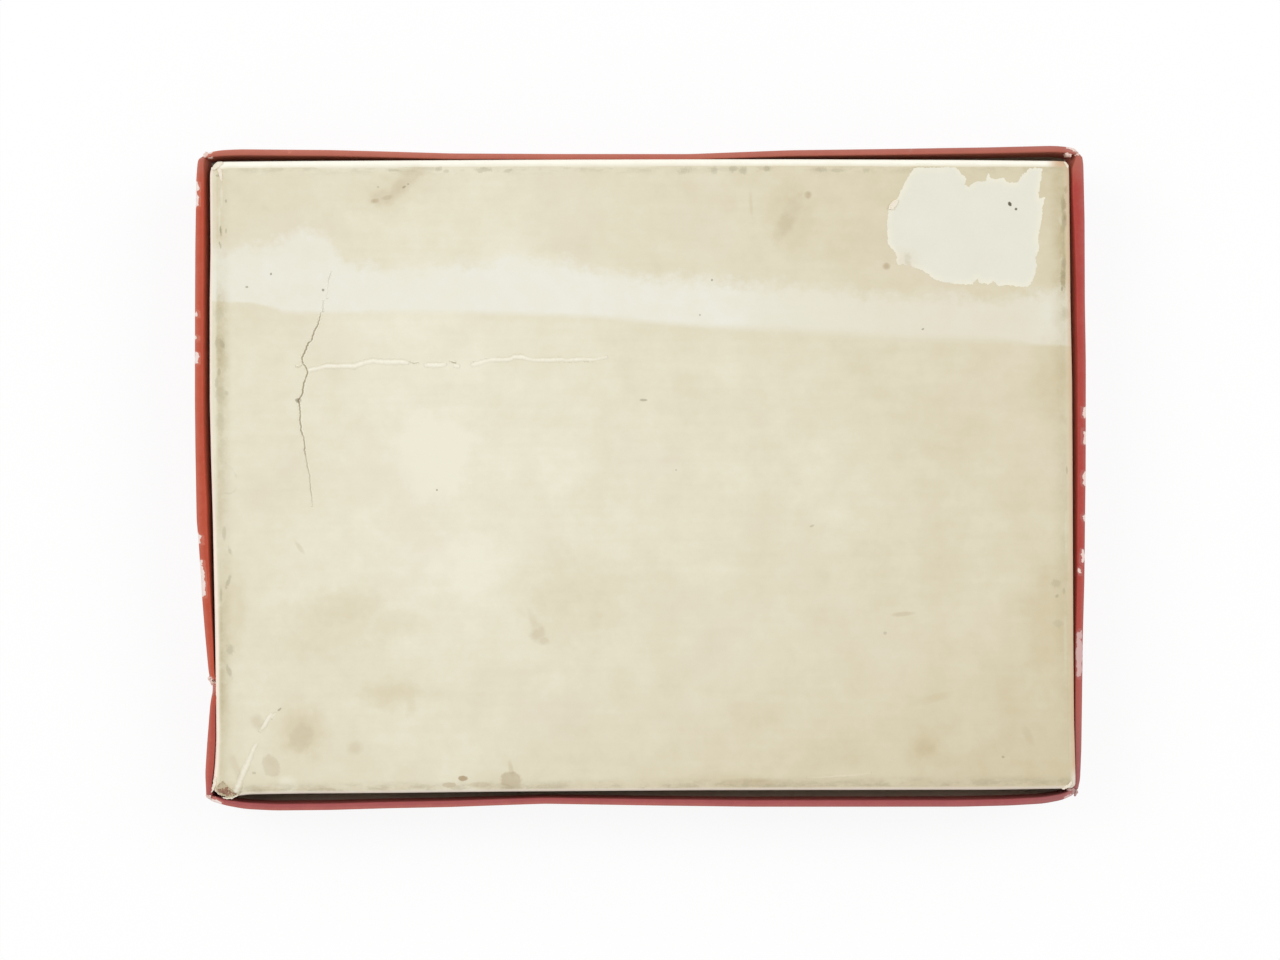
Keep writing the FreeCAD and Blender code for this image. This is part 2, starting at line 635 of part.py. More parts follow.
check_document()
os.makedirs("parts", exist_ok=True)
for item in pieces:
    item.Shape.exportStep(f"parts/{item.Label}.step")
    box = item.Shape.BoundBox
    levels = round(box.ZMin, 3), round(box.ZMax, 3)
    print(item.Label, len(item.Shape.Solids), round(item.Shape.Volume, 1), *levels)
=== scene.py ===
import math
from functools import partial, reduce

import bpy
import numpy as np
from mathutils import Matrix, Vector
from mathutils.geometry import delaunay_2d_cdt


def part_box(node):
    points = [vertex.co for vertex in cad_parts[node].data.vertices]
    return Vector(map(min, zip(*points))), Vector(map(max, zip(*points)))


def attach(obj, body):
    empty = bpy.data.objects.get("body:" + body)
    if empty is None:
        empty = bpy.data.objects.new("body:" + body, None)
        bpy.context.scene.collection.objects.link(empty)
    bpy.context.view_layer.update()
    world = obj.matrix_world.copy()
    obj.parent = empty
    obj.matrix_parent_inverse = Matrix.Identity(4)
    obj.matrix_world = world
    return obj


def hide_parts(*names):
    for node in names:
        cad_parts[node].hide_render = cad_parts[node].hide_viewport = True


# A worn telescoping game box, lying on its red lid with the tray's cream underside up, seen from above.
# Lengths are in metres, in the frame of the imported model.

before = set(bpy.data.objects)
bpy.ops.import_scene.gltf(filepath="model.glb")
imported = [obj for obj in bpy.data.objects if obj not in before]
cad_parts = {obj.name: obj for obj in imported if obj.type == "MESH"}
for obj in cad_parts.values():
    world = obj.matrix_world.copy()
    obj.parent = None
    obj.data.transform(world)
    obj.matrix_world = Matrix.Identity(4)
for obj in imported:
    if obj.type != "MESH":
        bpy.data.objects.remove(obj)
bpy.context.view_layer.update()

MM = 0.001
LID_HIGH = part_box("lid_side_strip")[1]
TRAY_LOW, TRAY_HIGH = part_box("tray_side_strip")
LID_HALF = (LID_HIGH[0], LID_HIGH[1])
TRAY_HALF = (TRAY_HIGH[0], TRAY_HIGH[1])
TRAY_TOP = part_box("tray_base_sheet")[1][2]
TRAY_RIM = TRAY_LOW[2]
TRAY_DEPTH = TRAY_TOP - TRAY_RIM
# The lid stands on its panel, so the height of its rim is also its depth.
LID_RIM = LID_HIGH[2]
# Paper, board, and a wall with paper on both sides; then the roundings, and the strip's turned edges.
PAPER = 0.2 * MM
BOARD = 2.0 * MM
WALL = BOARD + 2 * PAPER
CORNER = 1.8 * MM
FOLD = 1.2 * MM
RIM_ROUND = 0.65 * MM
TURN_IN = 14 * MM
TURN_OVER = 10 * MM

# Camera: nearly straight above, solved from the four corners of the tray's underside in the photograph.
FRAME_SIZE = (1280, 960)
FRAME_MIDDLE = (640, 480)
FOCAL_PX = 2905.2
CAMERA_PLACE = np.array([-43.45, -24.97, 1240.4]) * MM
CAMERA_TURN = np.radians([1.1197, -1.9926, -0.3702])
SENSOR_MM = 36.0


def turn_matrix(angles):
    (cx, cy, cz), (sx, sy, sz) = np.cos(angles), np.sin(angles)
    about_x = np.array([[1, 0, 0], [0, cx, -sx], [0, sx, cx]])
    about_y = np.array([[cy, 0, sy], [0, 1, 0], [-sy, 0, cy]])
    about_z = np.array([[cz, -sz, 0], [sz, cz, 0], [0, 0, 1]])
    return about_z @ about_y @ about_x


CAMERA_AXES = turn_matrix(CAMERA_TURN)


def at(px, py, level=TRAY_TOP):
    """The place, at a level, that the camera sees at a pixel of the 1280 by 960 frame."""
    across, up = (px - FRAME_MIDDLE[0]) / FOCAL_PX, (FRAME_MIDDLE[1] - py) / FOCAL_PX
    ray = CAMERA_AXES @ np.array([across, up, -1.0])
    return CAMERA_PLACE[:2] + ray[:2] * (level - CAMERA_PLACE[2]) / ray[2]


def places(points, level=TRAY_TOP):
    return np.array([at(px, py, level) for px, py in points])


LINE_SAMPLES = 400
LINE_BLUR = 5


def along(points, axis, level):
    """Pixel places as a smooth line over one axis: (places, values) in metres, evenly spaced."""
    spots = places(points, level)
    spots = spots[np.argsort(spots[:, axis])]
    grid = np.linspace(spots[0, axis], spots[-1, axis], LINE_SAMPLES)
    values = np.interp(grid, spots[:, axis], spots[:, 1 - axis])
    kernel = np.hanning(2 * LINE_BLUR + 1)
    return grid, np.convolve(np.pad(values, LINE_BLUR, mode="edge"), kernel / kernel.sum(), mode="valid")


# The lid's rim as it stands now, bowed, dented and torn: its outer edge in the photograph, side by side.
RIM_LEFT = [
    (206, 153), (197.5, 160), (195.8, 180), (194.8, 250), (194.6, 300), (194.4, 400), (194.9, 450),
    (196.1, 520), (198.4, 545), (201.9, 600), (204.6, 632), (207.3, 660), (209, 676), (213, 684),
    (213, 692), (210.4, 702), (208.9, 720), (206.9, 745), (205, 775), (206, 797),
]
RIM_RIGHT = [
    (1081.5, 152), (1083.9, 165), (1085.2, 220), (1085.4, 300), (1086.3, 360), (1086.2, 470),
    (1085.6, 520), (1085, 580), (1083.3, 640), (1082.5, 700), (1081.7, 750), (1080.4, 780),
    (1077.5, 792),
]
RIM_TOP = [
    (206, 153), (220, 150), (240, 149), (330, 149.7), (390, 151.3), (450, 153.1), (560, 153.8),
    (690, 153.8), (740, 151.9), (790, 150), (900, 148.6), (990, 147.2), (1050, 145.6), (1066, 147.2),
    (1079, 153),
]
RIM_BOTTOM = [
    (208, 800), (225, 805.5), (245, 809.2), (275, 810.7), (330, 810.2), (390, 808.4), (450, 807.2),
    (500, 805.4), (545, 803.9), (600, 804.8), (660, 805.8), (750, 806.9), (960, 806.8), (1010, 805.6),
    (1045, 803.7), (1066, 799.8), (1077, 794),
]
# The tray's edges in the same way.
EDGE_LEFT = [
    (209.5, 161), (210.1, 250), (209.3, 300), (209.3, 400), (210.7, 460), (212.5, 520), (214.6, 620),
    (215.2, 660), (215.4, 740), (214.2, 765), (212, 785), (213, 796),
]
EDGE_RIGHT = [
    (1069.5, 160), (1070.5, 250), (1071, 300), (1072.7, 380), (1073.1, 450), (1073.9, 640),
    (1074.6, 720), (1076.5, 788),
]
EDGE_TOP = [
    (210, 163), (222, 161.3), (300, 160.6), (560, 159.1), (690, 158.8), (800, 158.8), (960, 159.5),
    (1067, 160.6),
]
EDGE_BOTTOM = [
    (214, 796.2), (236, 796.7), (246, 794.7), (300, 793.8), (400, 793.1), (510, 791.8), (700, 790.5),
    (990, 790.1), (1050, 789.2), (1074, 788.7),
]


def unit(values):
    """Values kept between 0 and 1."""
    return np.clip(values, 0, 1)


def bell(values, reach):
    """1 at zero, falling away smoothly within reach."""
    return np.exp(-((values / reach) ** 2))


class Wear:
    """How far each side of a half of the box has moved out from its straight line."""

    def __init__(self, half, left, right, top, bottom, level):
        self.half = half
        self.left = along(left, 1, level)
        self.right = along(right, 1, level)
        self.top = along(top, 0, level)
        self.bottom = along(bottom, 0, level)

    def shift(self, x, y, reach):
        """Shift of points at (x, y), most at the walls and fading out at reach inside them."""
        a, b = self.half
        sides = [(-1, 0, x + a, -a - np.interp(y, *self.left)),
                 (1, 0, a - x, np.interp(y, *self.right) - a),
                 (0, 1, b - y, np.interp(x, *self.top) - b),
                 (0, -1, y + b, -b - np.interp(x, *self.bottom))]
        dx, dy = np.zeros_like(x), np.zeros_like(y)
        for way_x, way_y, inside, out in sides:
            move = unit(1 - inside / reach) ** 2 * out
            dx += way_x * move
            dy += way_y * move
        return dx, dy


LID_WEAR = Wear(LID_HALF, RIM_LEFT, RIM_RIGHT, RIM_TOP, RIM_BOTTOM, LID_RIM)
TRAY_WEAR = Wear(TRAY_HALF, EDGE_LEFT, EDGE_RIGHT, EDGE_TOP, EDGE_BOTTOM, TRAY_TOP)
LID_REACH = 50 * MM
TRAY_REACH = 26 * MM
# The rim is crushed flat and leans over the gap on the left and right: (pixel down the side, share of
# the gap). The lean fades out below the rim. It begins a little in from the rim's outer edge, and it is
# full a little before the inner one.
LEAN_LEFT = [
    (162, 0), (180, 0.16), (260, 0.22), (420, 0.22), (465, 0.28), (500, 0.38), (560, 0.32), (640, 0.4),
    (672, 0.3), (690, 0.3), (706, 0.7), (740, 0.85), (776, 0.7), (794, 0),
]
LEAN_RIGHT = [
    (160, 0), (172, 0.55), (200, 0.55), (230, 0.42), (290, 0.25), (600, 0.22), (700, 0.35), (760, 0.4),
    (786, 0),
]
LEAN_DEPTH = 14 * MM
LEAN_EDGE = 0.4 * MM
# The left and right walls flare towards the rim with a power of the height. The near and far ones bulge
# below it: their height covers this share of half a wave.
FLARE = 2.2
BULGE = 0.55
# The rim waves a little: height and size of the waves, and the power with which they grow up the wall.
RIM_WAVE = 0.35 * MM
RIM_WAVE_SIZE = 38 * MM
RIM_WAVE_POWER = 4
# The tear in the lid's left wall: where it is, half its length, how deep the rim has sunk there, and the
# power that rounds it.
TEAR_PLACE = at(211, 688, LID_RIM)[1]
TEAR_HALF = 3.4 * MM
TEAR_DEPTH = 9.0 * MM
TEAR_POWER = 0.5
# The lid's corners have split from the rim down, in the same way.
SPLIT_HALF = 2.4 * MM
SPLIT_DEPTH = 4.5 * MM
SPLIT_POWER = 0.6
# Share of a wall's height, from below, that neither tear nor split reaches.
WHOLE_WALL = 0.55
# The tray's corners, as signs of x and y, and how far each is knocked in. A dent sinks by a share of that.
BLUNT_CORNERS = [(-1, 1, 1.1 * MM), (1, 1, 0.35 * MM), (1, -1, 0.3 * MM), (-1, -1, 0.9 * MM)]
BLUNT_REACH = 6 * MM
BLUNT_DROP = 0.2
# Share of the wear of the tray's underside that its rim has too.
RIM_SHARE = 0.25
# The fold that bends the tray's near left corner down, as pixel places from the edge inwards, and the
# crease at its outer end, with strengths.
CORNER_FOLD = [(235, 793), (273, 714)]
CORNER_CREASE = [
    (235, 793, 0.6), (239, 784, 0.7), (243, 774, 0.65), (247, 765, 0.7), (250, 758, 0.4),
    (252, 753, 0.1),
]
CORNER_DROOP = 0.14
DROOP_REACH = 55 * MM


def ripple(x, y, size, seed=0.0):
    """A fixed, gentle unevenness between -1 and 1."""
    u, v = x / size, y / size
    waves = np.sin(u * 1.3 + v * 0.7 + seed) + np.sin(u * 0.6 - v * 1.7 + 2.1 * seed) * 0.7
    return (waves + np.sin(u * 2.9 + 1.1 * v + 0.5 * seed) * 0.35) / 2.05


def rim_lean(x, y, z):
    """How far the inner half of the lid's rim is crushed over towards the tray."""
    total = np.zeros_like(x)
    for way, rim, edge, lean in ((-1, LID_WEAR.left, TRAY_WEAR.left, LEAN_LEFT),
                                 (1, LID_WEAR.right, TRAY_WEAR.right, LEAN_RIGHT)):
        downs, shares = zip(*[(at(FRAME_MIDDLE[0], py, LID_RIM)[1], share) for py, share in lean[::-1]])
        gap = np.clip(np.abs(np.interp(y, *rim)) - WALL - np.abs(np.interp(y, *edge)), 0, None)
        inset = LID_HALF[0] - way * x
        inner = unit((inset - LEAN_EDGE) / (WALL - 2 * LEAN_EDGE)) * (inset < 2 * WALL)
        total -= way * np.interp(y, downs, shares) * gap * inner * bell(LID_RIM - z, LEAN_DEPTH)
    return total


def wear_lid(points):
    """Bows, dents and splits the straight lid."""
    x, y, z = points.T.copy()
    a, b = LID_HALF
    lift = unit(z / LID_RIM)
    upper = unit((lift - WHOLE_WALL) / (1 - WHOLE_WALL))
    tear = unit(1 - np.abs(y - TEAR_PLACE) / TEAR_HALF) ** TEAR_POWER * (x < -a + 2 * WALL)
    split = unit(1 - np.maximum(a - np.abs(x), b - np.abs(y)) / SPLIT_HALF) ** SPLIT_POWER
    dx, dy = LID_WEAR.shift(x, y, LID_REACH)
    dx *= lift**FLARE
    dy *= np.sin(BULGE * lift * math.pi) / math.sin(BULGE * math.pi)
    dx += rim_lean(x, y, z)
    z -= upper * (TEAR_DEPTH * tear + SPLIT_DEPTH * split)
    z += lift**RIM_WAVE_POWER * ripple(x, y, RIM_WAVE_SIZE) * RIM_WAVE
    return np.column_stack([x + dx, y + dy, z])


def corner_droop(x, y):
    """How far the bent corner hangs below the flat underside."""
    start, end = places(CORNER_FOLD)
    leg = (end - start) / np.linalg.norm(end - start)
    beyond = np.clip((y - start[1]) * leg[0] - (x - start[0]) * leg[1], 0, None)
    away = np.hypot(x + TRAY_HALF[0], y + TRAY_HALF[1])
    return CORNER_DROOP * beyond * unit(1 - away / DROOP_REACH)


def wear_tray(points):
    """Moves the straight tray's edges in or out, knocks its corners and bends one down."""
    x, y, z = points.T.copy()
    a, b = TRAY_HALF
    up = unit((z - TRAY_RIM) / TRAY_DEPTH)
    for side_x, side_y, dent in BLUNT_CORNERS:
        from_x, from_y = a - side_x * x, b - side_y * y
        beside = unit(1 - np.abs(from_x - from_y) / BLUNT_REACH) ** 2
        inside = unit(1 - np.minimum(from_x, from_y) / (2 * BLUNT_REACH))
        dents = dent * beside * inside * up**2
        x -= side_x * dents
        y -= side_y * dents
        z -= BLUNT_DROP * dents
    dx, dy = TRAY_WEAR.shift(x, y, TRAY_REACH)
    z -= corner_droop(x, y) * up
    share = RIM_SHARE + (1 - RIM_SHARE) * up
    return np.column_stack([x + dx * share, y + dy * share, z])


def turn_over(points):
    """The tray is made upright, turned over about X and then worn."""
    return wear_tray(points * np.array([1, -1, -1]) + np.array([0, 0, TRAY_TOP]))


# Meshes.


def new_object(name, vertices, faces, smooth=40):
    mesh = bpy.data.meshes.new(name)
    mesh.from_pydata(np.asarray(vertices).tolist(), [], [[int(i) for i in face] for face in faces])
    mesh.update()
    item = bpy.data.objects.new(name, mesh)
    bpy.context.scene.collection.objects.link(item)
    mesh.shade_smooth()
    mesh.set_sharp_from_angle(angle=math.radians(smooth))
    return item


def add_field(item, name, values):
    """A number for each vertex, which a material reads by name."""
    layer = item.data.attributes.new(name, "FLOAT", "POINT")
    layer.data.foreach_set("value", np.asarray(values, dtype=np.float32).ravel())


def refined(low, high, coarse, zones=()):
    """Steps from low to high, coarse, but fine inside each zone (start, end, step)."""
    steps = [low]
    while steps[-1] < high - 1e-9:
        step = coarse
        for start, end, fine in zones:
            if start - coarse < steps[-1] < end:
                step = min(step, fine)
        steps.append(min(steps[-1] + step, high))
    return np.array(steps)


def gather(parts):
    """One list of vertices and one of faces from several (vertices, faces) pairs."""
    vertices, faces, count = [], [], 0
    for points, loops in parts:
        vertices.append(np.asarray(points))
        faces += [[count + i for i in loop] for loop in loops]
        count += len(points)
    return np.vstack(vertices), faces


def quads(index, close_rows=False, close_columns=False):
    """Faces between neighbours in a grid of vertex numbers, which may close on itself."""
    index = np.pad(index, ((0, int(close_rows)), (0, int(close_columns))), mode="wrap")
    corners = index[:-1, :-1], index[:-1, 1:], index[1:, 1:], index[1:, :-1]
    return np.stack([corner.ravel() for corner in corners], axis=1)


# Walls, folds and turned edges: a profile carried round a rectangle with round corners.

SIDES = ("bottom", "right", "top", "left")
SIDE_STEP = 2.4 * MM
FINE_STEP = 0.5 * MM
CORNER_ZONE = 7 * MM
CORNER_STEPS = 6


def corner_rows(side):
    return [(side, 1.0, step / CORNER_STEPS) for step in range(1, CORNER_STEPS)]


def stations(half, damage=()):
    """Places round the rectangle as (side, share along the side, turn of the corner after it).

    Sides are numbered as in SIDES, the way round. Damage lists (side, place along it, reach, step) to
    step finely.
    """
    rows = []
    for side in range(len(SIDES)):
        reach = half[side % 2]
        zones = [(-reach, -reach + CORNER_ZONE, FINE_STEP), (reach - CORNER_ZONE, reach, FINE_STEP)]
        zones += [(place - room, place + room, fine) for where, place, room, fine in damage if where == side]
        rows += [(side, place / reach, 0.0) for place in refined(-reach, reach, SIDE_STEP, zones)]
        rows += corner_rows(side)
    return np.array(rows)


def ring_points(rows, half, radius, inset):
    """Points at an inset from the rectangle's outline, one for each station."""
    side, share, turn = rows.T
    round_off = max(radius - inset, 0.0)
    a, b = half[0] - inset - round_off, half[1] - inset - round_off
    x = np.select([side == 0, side == 1, side == 2], [share * a, a, -share * a], -a)
    y = np.select([side == 0, side == 1, side == 2], [-b, share * b, b], -share * b)
    angle = (side - 1 + turn) * math.pi / 2
    return np.column_stack([x + round_off * np.cos(angle), y + round_off * np.sin(angle)])


def arc(centre, radius, start, end, steps):
    """Points of an arc in (inset, height), angles in degrees from the inset axis."""
    angles = np.radians(np.linspace(start, end, steps))
    return [(centre[0] + radius * math.cos(k), centre[1] + radius * math.sin(k)) for k in angles]


def line(start, end, steps):
    """Points from start up to, but not with, end."""
    start, end = np.array(start), np.array(end)
    return [tuple(start + (end - start) * k / steps) for k in range(steps)]


# Profiles: where the strip's turned-over part begins to be stepped finely, the points of arcs, and the
# short straight beside an arc on paper and on board.
FINE_FROM = 4 * MM
ARC_STEPS = 7
RIM_STEPS = 5
STRAIGHT = 0.5 * MM
BOARD_STRAIGHT = 0.3 * MM
# Between board and paper, and how far in the board's section reaches on the panel.
GLUE = 0.02 * MM
PANEL_REACH = 22 * MM
# How far above the panel a corner stay begins, and how far it goes along each wall.
STAY_FOOT = 4 * MM
STAY_REACH = 20 * MM
# Steps on the straights of the strip (its panel edge, the same near the fold, its wall and its turned-in
# edge), of the board (panel and wall) and of a stay.
PANEL_STEPS, FOLD_STEPS, WALL_STEPS, TURN_STEPS = 2, 7, 14, 9
BOARD_PANEL_STEPS, BOARD_WALL_STEPS = 3, 10
STAY_STEPS = 8


def strip_profile(depth):
    """The paper strip in section: panel edge, fold, wall, rim and turned-in edge, then back inside it."""
    level = depth - RIM_ROUND

    def skin(offset):
        low = PAPER + offset
        points = line((TURN_OVER, low), (FINE_FROM, low), PANEL_STEPS)
        points += line((FINE_FROM, low), (FOLD, low), FOLD_STEPS)
        points += arc((FOLD, PAPER + FOLD), FOLD - offset, 270, 180, ARC_STEPS)
        points += line((offset, PAPER + FOLD + STRAIGHT), (offset, level - STRAIGHT), WALL_STEPS)
        points += arc((RIM_ROUND, level), RIM_ROUND - offset, 180, 90, ARC_STEPS)
        points += arc((WALL - RIM_ROUND, level), RIM_ROUND - offset, 90, 0, ARC_STEPS)
        points += line((WALL - offset, level - STRAIGHT), (WALL - offset, depth - TURN_IN), TURN_STEPS)
        points.append((WALL - offset, depth - TURN_IN))
        return points

    return skin(0.0) + skin(PAPER)[::-1]


def shell_profile(depth):
    """The board in section, from the panel's inside up the wall and down its outside to the panel again."""
    inner, outer = WALL - PAPER - GLUE, PAPER + GLUE
    low, level = 2 * PAPER, depth - RIM_ROUND
    points = line((PANEL_REACH, low + BOARD), (inner, low + BOARD), BOARD_PANEL_STEPS)
    points += line((inner, low + BOARD), (inner, level - BOARD_STRAIGHT), BOARD_WALL_STEPS)
    points += arc((WALL - RIM_ROUND, level), RIM_ROUND - outer, 0, 90, RIM_STEPS)
    points += arc((RIM_ROUND, level), RIM_ROUND - outer, 90, 180, RIM_STEPS)
    points += line((outer, level - BOARD_STRAIGHT), (outer, low + FOLD), BOARD_WALL_STEPS)
    points += arc((outer + FOLD, low + FOLD), FOLD, 180, 270, ARC_STEPS)
    points.append((PANEL_REACH, low))
    return points


def tape_profile(depth):
    """A corner stay in section: a thin band up the outside of the board."""
    low, high = 2 * PAPER + STAY_FOOT, depth - PAPER
    outside = line((PAPER, low), (PAPER, high), STAY_STEPS) + [(PAPER, high)]
    inside = [(inset + PAPER, height) for inset, height in outside[::-1]]
    return outside + inside


def loft(rows, half, profile, ends="round"):
    """Points and faces of a profile carried round the stations.

    Ends are round (the profile and the way round are closed), panel (closed by two flat panels) or open
    (a band with two ends).
    """
    rings = [np.column_stack([ring_points(rows, half, CORNER, inset), np.full(len(rows), height)])
             for inset, height in profile]
    points = np.stack(rings, axis=1)
    count, size = points.shape[:2]
    index = np.arange(count * size).reshape(count, size)
    faces = list(quads(index, ends != "open", ends != "panel")[:, [0, 3, 2, 1]])
    if ends == "panel":
        faces += [index[::-1, size - 1], index[:, 0]]
    if ends == "open":
        faces += [index[0, ::-1], index[-1]]
    return points.reshape(-1, 3), faces


def stay_bands(half, depth):
    """Four corner stays, each wrapped round one corner."""
    bands = []
    for side in range(len(SIDES)):
        before, after = half[side % 2], half[(side + 1) % 2]
        upto = np.linspace(1 - STAY_REACH / before, 1, STAY_STEPS)
        onward = np.linspace(-1, -1 + STAY_REACH / after, STAY_STEPS)
        rows = [(side, share, 0.0) for share in upto] + corner_rows(side)
        rows += [((side + 1) % len(SIDES), share, 0.0) for share in onward]
        bands.append(loft(np.array(rows), half, tape_profile(depth), "open"))
    return gather(bands)


def make_half(name, half, depth, place, damage=()):
    """Strip, board and stays of the lid or the tray, and the strip's straight points for its wear."""
    rows = stations(half, damage)
    straight, faces = loft(rows, half, strip_profile(depth))
    strip = new_object(f"{name}_wrap", place(straight), faces)
    points, faces = loft(rows, half, shell_profile(depth), "panel")
    shell = new_object(f"{name}_shell", place(points), faces)
    points, faces = stay_bands(half, depth)
    stays = new_object(f"{name}_tapes", place(points), faces)
    return strip, shell, stays, straight


# Chips in the lid's red paper: side, first and last pixel along it, strength, and the middle and half
# width of each across the rim in millimetres.
CHIPS = [
    ("right", 408, 421, 1.1, 0.3, 0.9), ("right", 431, 448, 1.1, 0.3, 0.8),
    ("right", 473, 490, 1.2, 0.4, 0.9), ("right", 516, 525, 1, 0.3, 0.6),
    ("right", 551, 568, 1.2, 0.8, 0.8), ("right", 569, 578, 1.1, 1.7, 0.6),
    ("right", 632, 683, 1.3, 1.2, 1.2), ("left", 180, 207, 1.2, 0.1, 0.9),
    ("left", 309, 316, 1.1, 0.5, 0.6), ("left", 332, 340, 1, 0.4, 0.5),
    ("left", 349, 363, 1.2, 0.5, 0.7), ("left", 527, 542, 1, 0.2, 0.6),
    ("left", 557, 595, 1.2, 0.3, 0.9), ("left", 672, 682, 1.1, 0.3, 0.9),
    ("top", 205, 216, 1.1, 0.4, 1.3), ("top", 288, 294, 0.8, 0.3, 0.7),
    ("bottom", 205, 222, 1.1, 0.4, 1.3), ("top", 1062, 1082, 1, 0.4, 1.4),
    ("bottom", 1062, 1080, 1, 0.4, 1.4), ("top", 912, 918, 0.7, 0.3, 0.6),
]
CHIP_STEP = 1.0 * MM
CHIP_ROOM = 1.5 * MM
TEAR_ROOM = 10 * MM


def chip_ends(side, first, last):
    """Where a chip begins and ends along its side of the lid."""
    middle_x, middle_y = FRAME_MIDDLE
    if side in ("left", "right"):
        return sorted(at(middle_x, py, LID_RIM)[1] for py in (first, last))
    return sorted(at(px, middle_y, LID_RIM)[0] for px in (first, last))


def lid_damage():
    """The tear and the chips as (side, place along it going round, reach, step)."""
    zones = [(SIDES.index("left"), -TEAR_PLACE, TEAR_ROOM, FINE_STEP)]
    for side, first, last, *_ in CHIPS:
        low, high = chip_ends(side, first, last)
        way = 1 if side in ("bottom", "right") else -1
        zones.append((SIDES.index(side), way * (low + high) / 2, (high - low) / 2 + CHIP_ROOM, CHIP_STEP))
    return zones


lid_wrap, lid_shell, lid_tapes, lid_straight = make_half("lid", LID_HALF, LID_RIM, wear_lid, lid_damage())
tray_wrap, tray_shell, tray_tapes, tray_straight = make_half("tray", TRAY_HALF, TRAY_DEPTH, turn_over)


# The sheet on the tray's underside, and the cracks, creases and torn places of the photograph on it.

# How far the sheet stays back from the tray's edge on each side.
SHEET_LEFT, SHEET_RIGHT, SHEET_TOP, SHEET_BOTTOM = 3.0 * MM, 2.7 * MM, 2.8 * MM, 1.9 * MM
# Its step, how far it lies below the model's top and is pressed down at its edges, its waves, and how far
# its edge goes down into the board.
SHEET_STEP = 2.0 * MM
SHEET_SINK = 0.05 * MM
SHEET_PASTED = 0.12 * MM
SHEET_WAVE = 0.16 * MM
SHEET_WAVE_SIZE = 24 * MM
SHEET_WAVE_SEED = 1.3
SHEET_EDGE = 0.5 * MM
# The long crack down the sheet, and short dark marks of painted shade in the creases, as pixel places and
# strengths.
CRACKS_AND_CREASE_SHADE = [
    [(331.5, 271, 0.15), (330, 275, 0.35), (328.5, 280, 0.25), (327.7, 290, 0.12), (327, 299, 0.12)],
    [(323.2, 300, 0.2), (323, 306, 0.35), (322.8, 312, 0.35)],
    [(321, 312.5, 0.3), (320.3, 315, 0.6), (319.6, 319, 0.6), (318, 324.5, 0.8), (315.5, 329, 0.85),
     (313.5, 333, 0.8), (312.3, 338, 0.85), (311.4, 341.2, 0.8), (309, 342.2, 0.95), (307, 346.5, 1),
     (305.2, 351, 1), (302.8, 356, 0.95), (302.3, 360, 0.8), (302.7, 363.7, 0.75), (306.3, 367.6, 0.7),
     (307.4, 371, 0.8), (307, 375, 0.9), (304.9, 380, 0.9), (303.8, 384, 0.95), (302.7, 389, 1),
     (302.6, 393, 0.95), (300, 397.5, 0.9), (298.4, 400.5, 1), (299.6, 405, 0.85), (299.9, 411, 0.8),
     (300.2, 421, 0.75), (301.2, 431, 0.85), (303.6, 437, 0.6), (304.5, 443, 0.75), (304.5, 450, 0.75),
     (306, 458, 0.5), (307.3, 467, 0.55), (309.2, 473, 0.45), (309.9, 479, 0.45), (310.7, 490, 0.5),
     (311.9, 498, 0.4), (312.1, 507, 0.2)],
    [(295, 366.3, 0.15), (296.6, 367.4, 0.45), (299.2, 366.6, 0.4), (301.8, 365.2, 0.3)],
    [(410, 362.3, 0.2), (414, 363.2, 0.5), (419, 362.6, 0.3)],
    [(449, 361.2, 0.15), (452.5, 362, 0.7), (456, 363.2, 0.5)],
    [(473, 361.8, 0.3), (475.5, 361, 0.2)],
    [(484, 358.2, 0.15), (490, 358.5, 0.3), (494, 358.2, 0.1)],
    [(515, 359.6, 0.15), (521, 359, 0.3), (526, 360, 0.1)],
    [(564, 361.8, 0.15), (568, 362.3, 0.3), (572, 362, 0.1)],
    [(584, 361.6, 0.15), (588, 361.9, 0.35), (593, 361.6, 0.1)],
]
# Creases where the paper stands up, with a painted highlight on their crests and painted shadow beside them.
CREASES = [
    [(308, 371, 0.5), (310, 369.8, 0.9), (315, 368.8, 0.7), (320, 367.8, 0.8), (326.7, 365.9, 1),
     (340, 366, 0.9), (354.4, 365.8, 1), (362, 363.3, 0.8), (368, 361.8, 0.9), (373, 360.5, 1),
     (378, 361.6, 0.9), (388, 361.8, 1), (400, 361.7, 1), (405, 362.2, 0.8), (409, 363.3, 0.4)],
    [(424, 365.5, 0.3), (428, 365, 0.9), (436, 364.9, 1), (443, 364.8, 0.8), (447, 364.4, 0.2)],
    [(453, 365, 0.3), (456.7, 365.8, 0.9), (460, 367, 0.3)],
    [(471, 364.9, 0.5), (475, 364, 0.9), (481.7, 362.2, 0.7), (488, 360.4, 0.6), (493.9, 359.4, 0.8),
     (502, 359.9, 0.7), (509.4, 359.2, 0.8), (513.9, 356.9, 0.9), (521.7, 356.7, 0.9),
     (528, 358.6, 0.7), (532.8, 360, 0.6), (539.4, 360, 0.8), (550, 359.9, 0.8), (561.7, 359.4, 0.7),
     (566, 360.6, 0.5), (571, 360, 0.7), (577.2, 359.4, 0.8), (585, 359.4, 0.5), (592.8, 359.7, 0.6),
     (600, 358.4, 0.4), (607.8, 356.7, 0.3)],
    [(806, 778, 0.04), (822, 777.5, 0.16), (840, 776, 0.2), (858, 775, 0.16), (872, 773, 0.04)],
    [(246, 764, 0.3), (249, 760.5, 0.7), (251, 755, 0.5), (254, 748, 0.7), (257, 743, 0.3)],
    [(259, 732, 0.15), (262.5, 728, 0.6), (266, 722, 0.8), (269, 717, 0.7), (272.5, 713, 0.2)],
    [(271, 719, 0.1), (273.5, 715.5, 0.4), (276, 713, 0.1)],
]
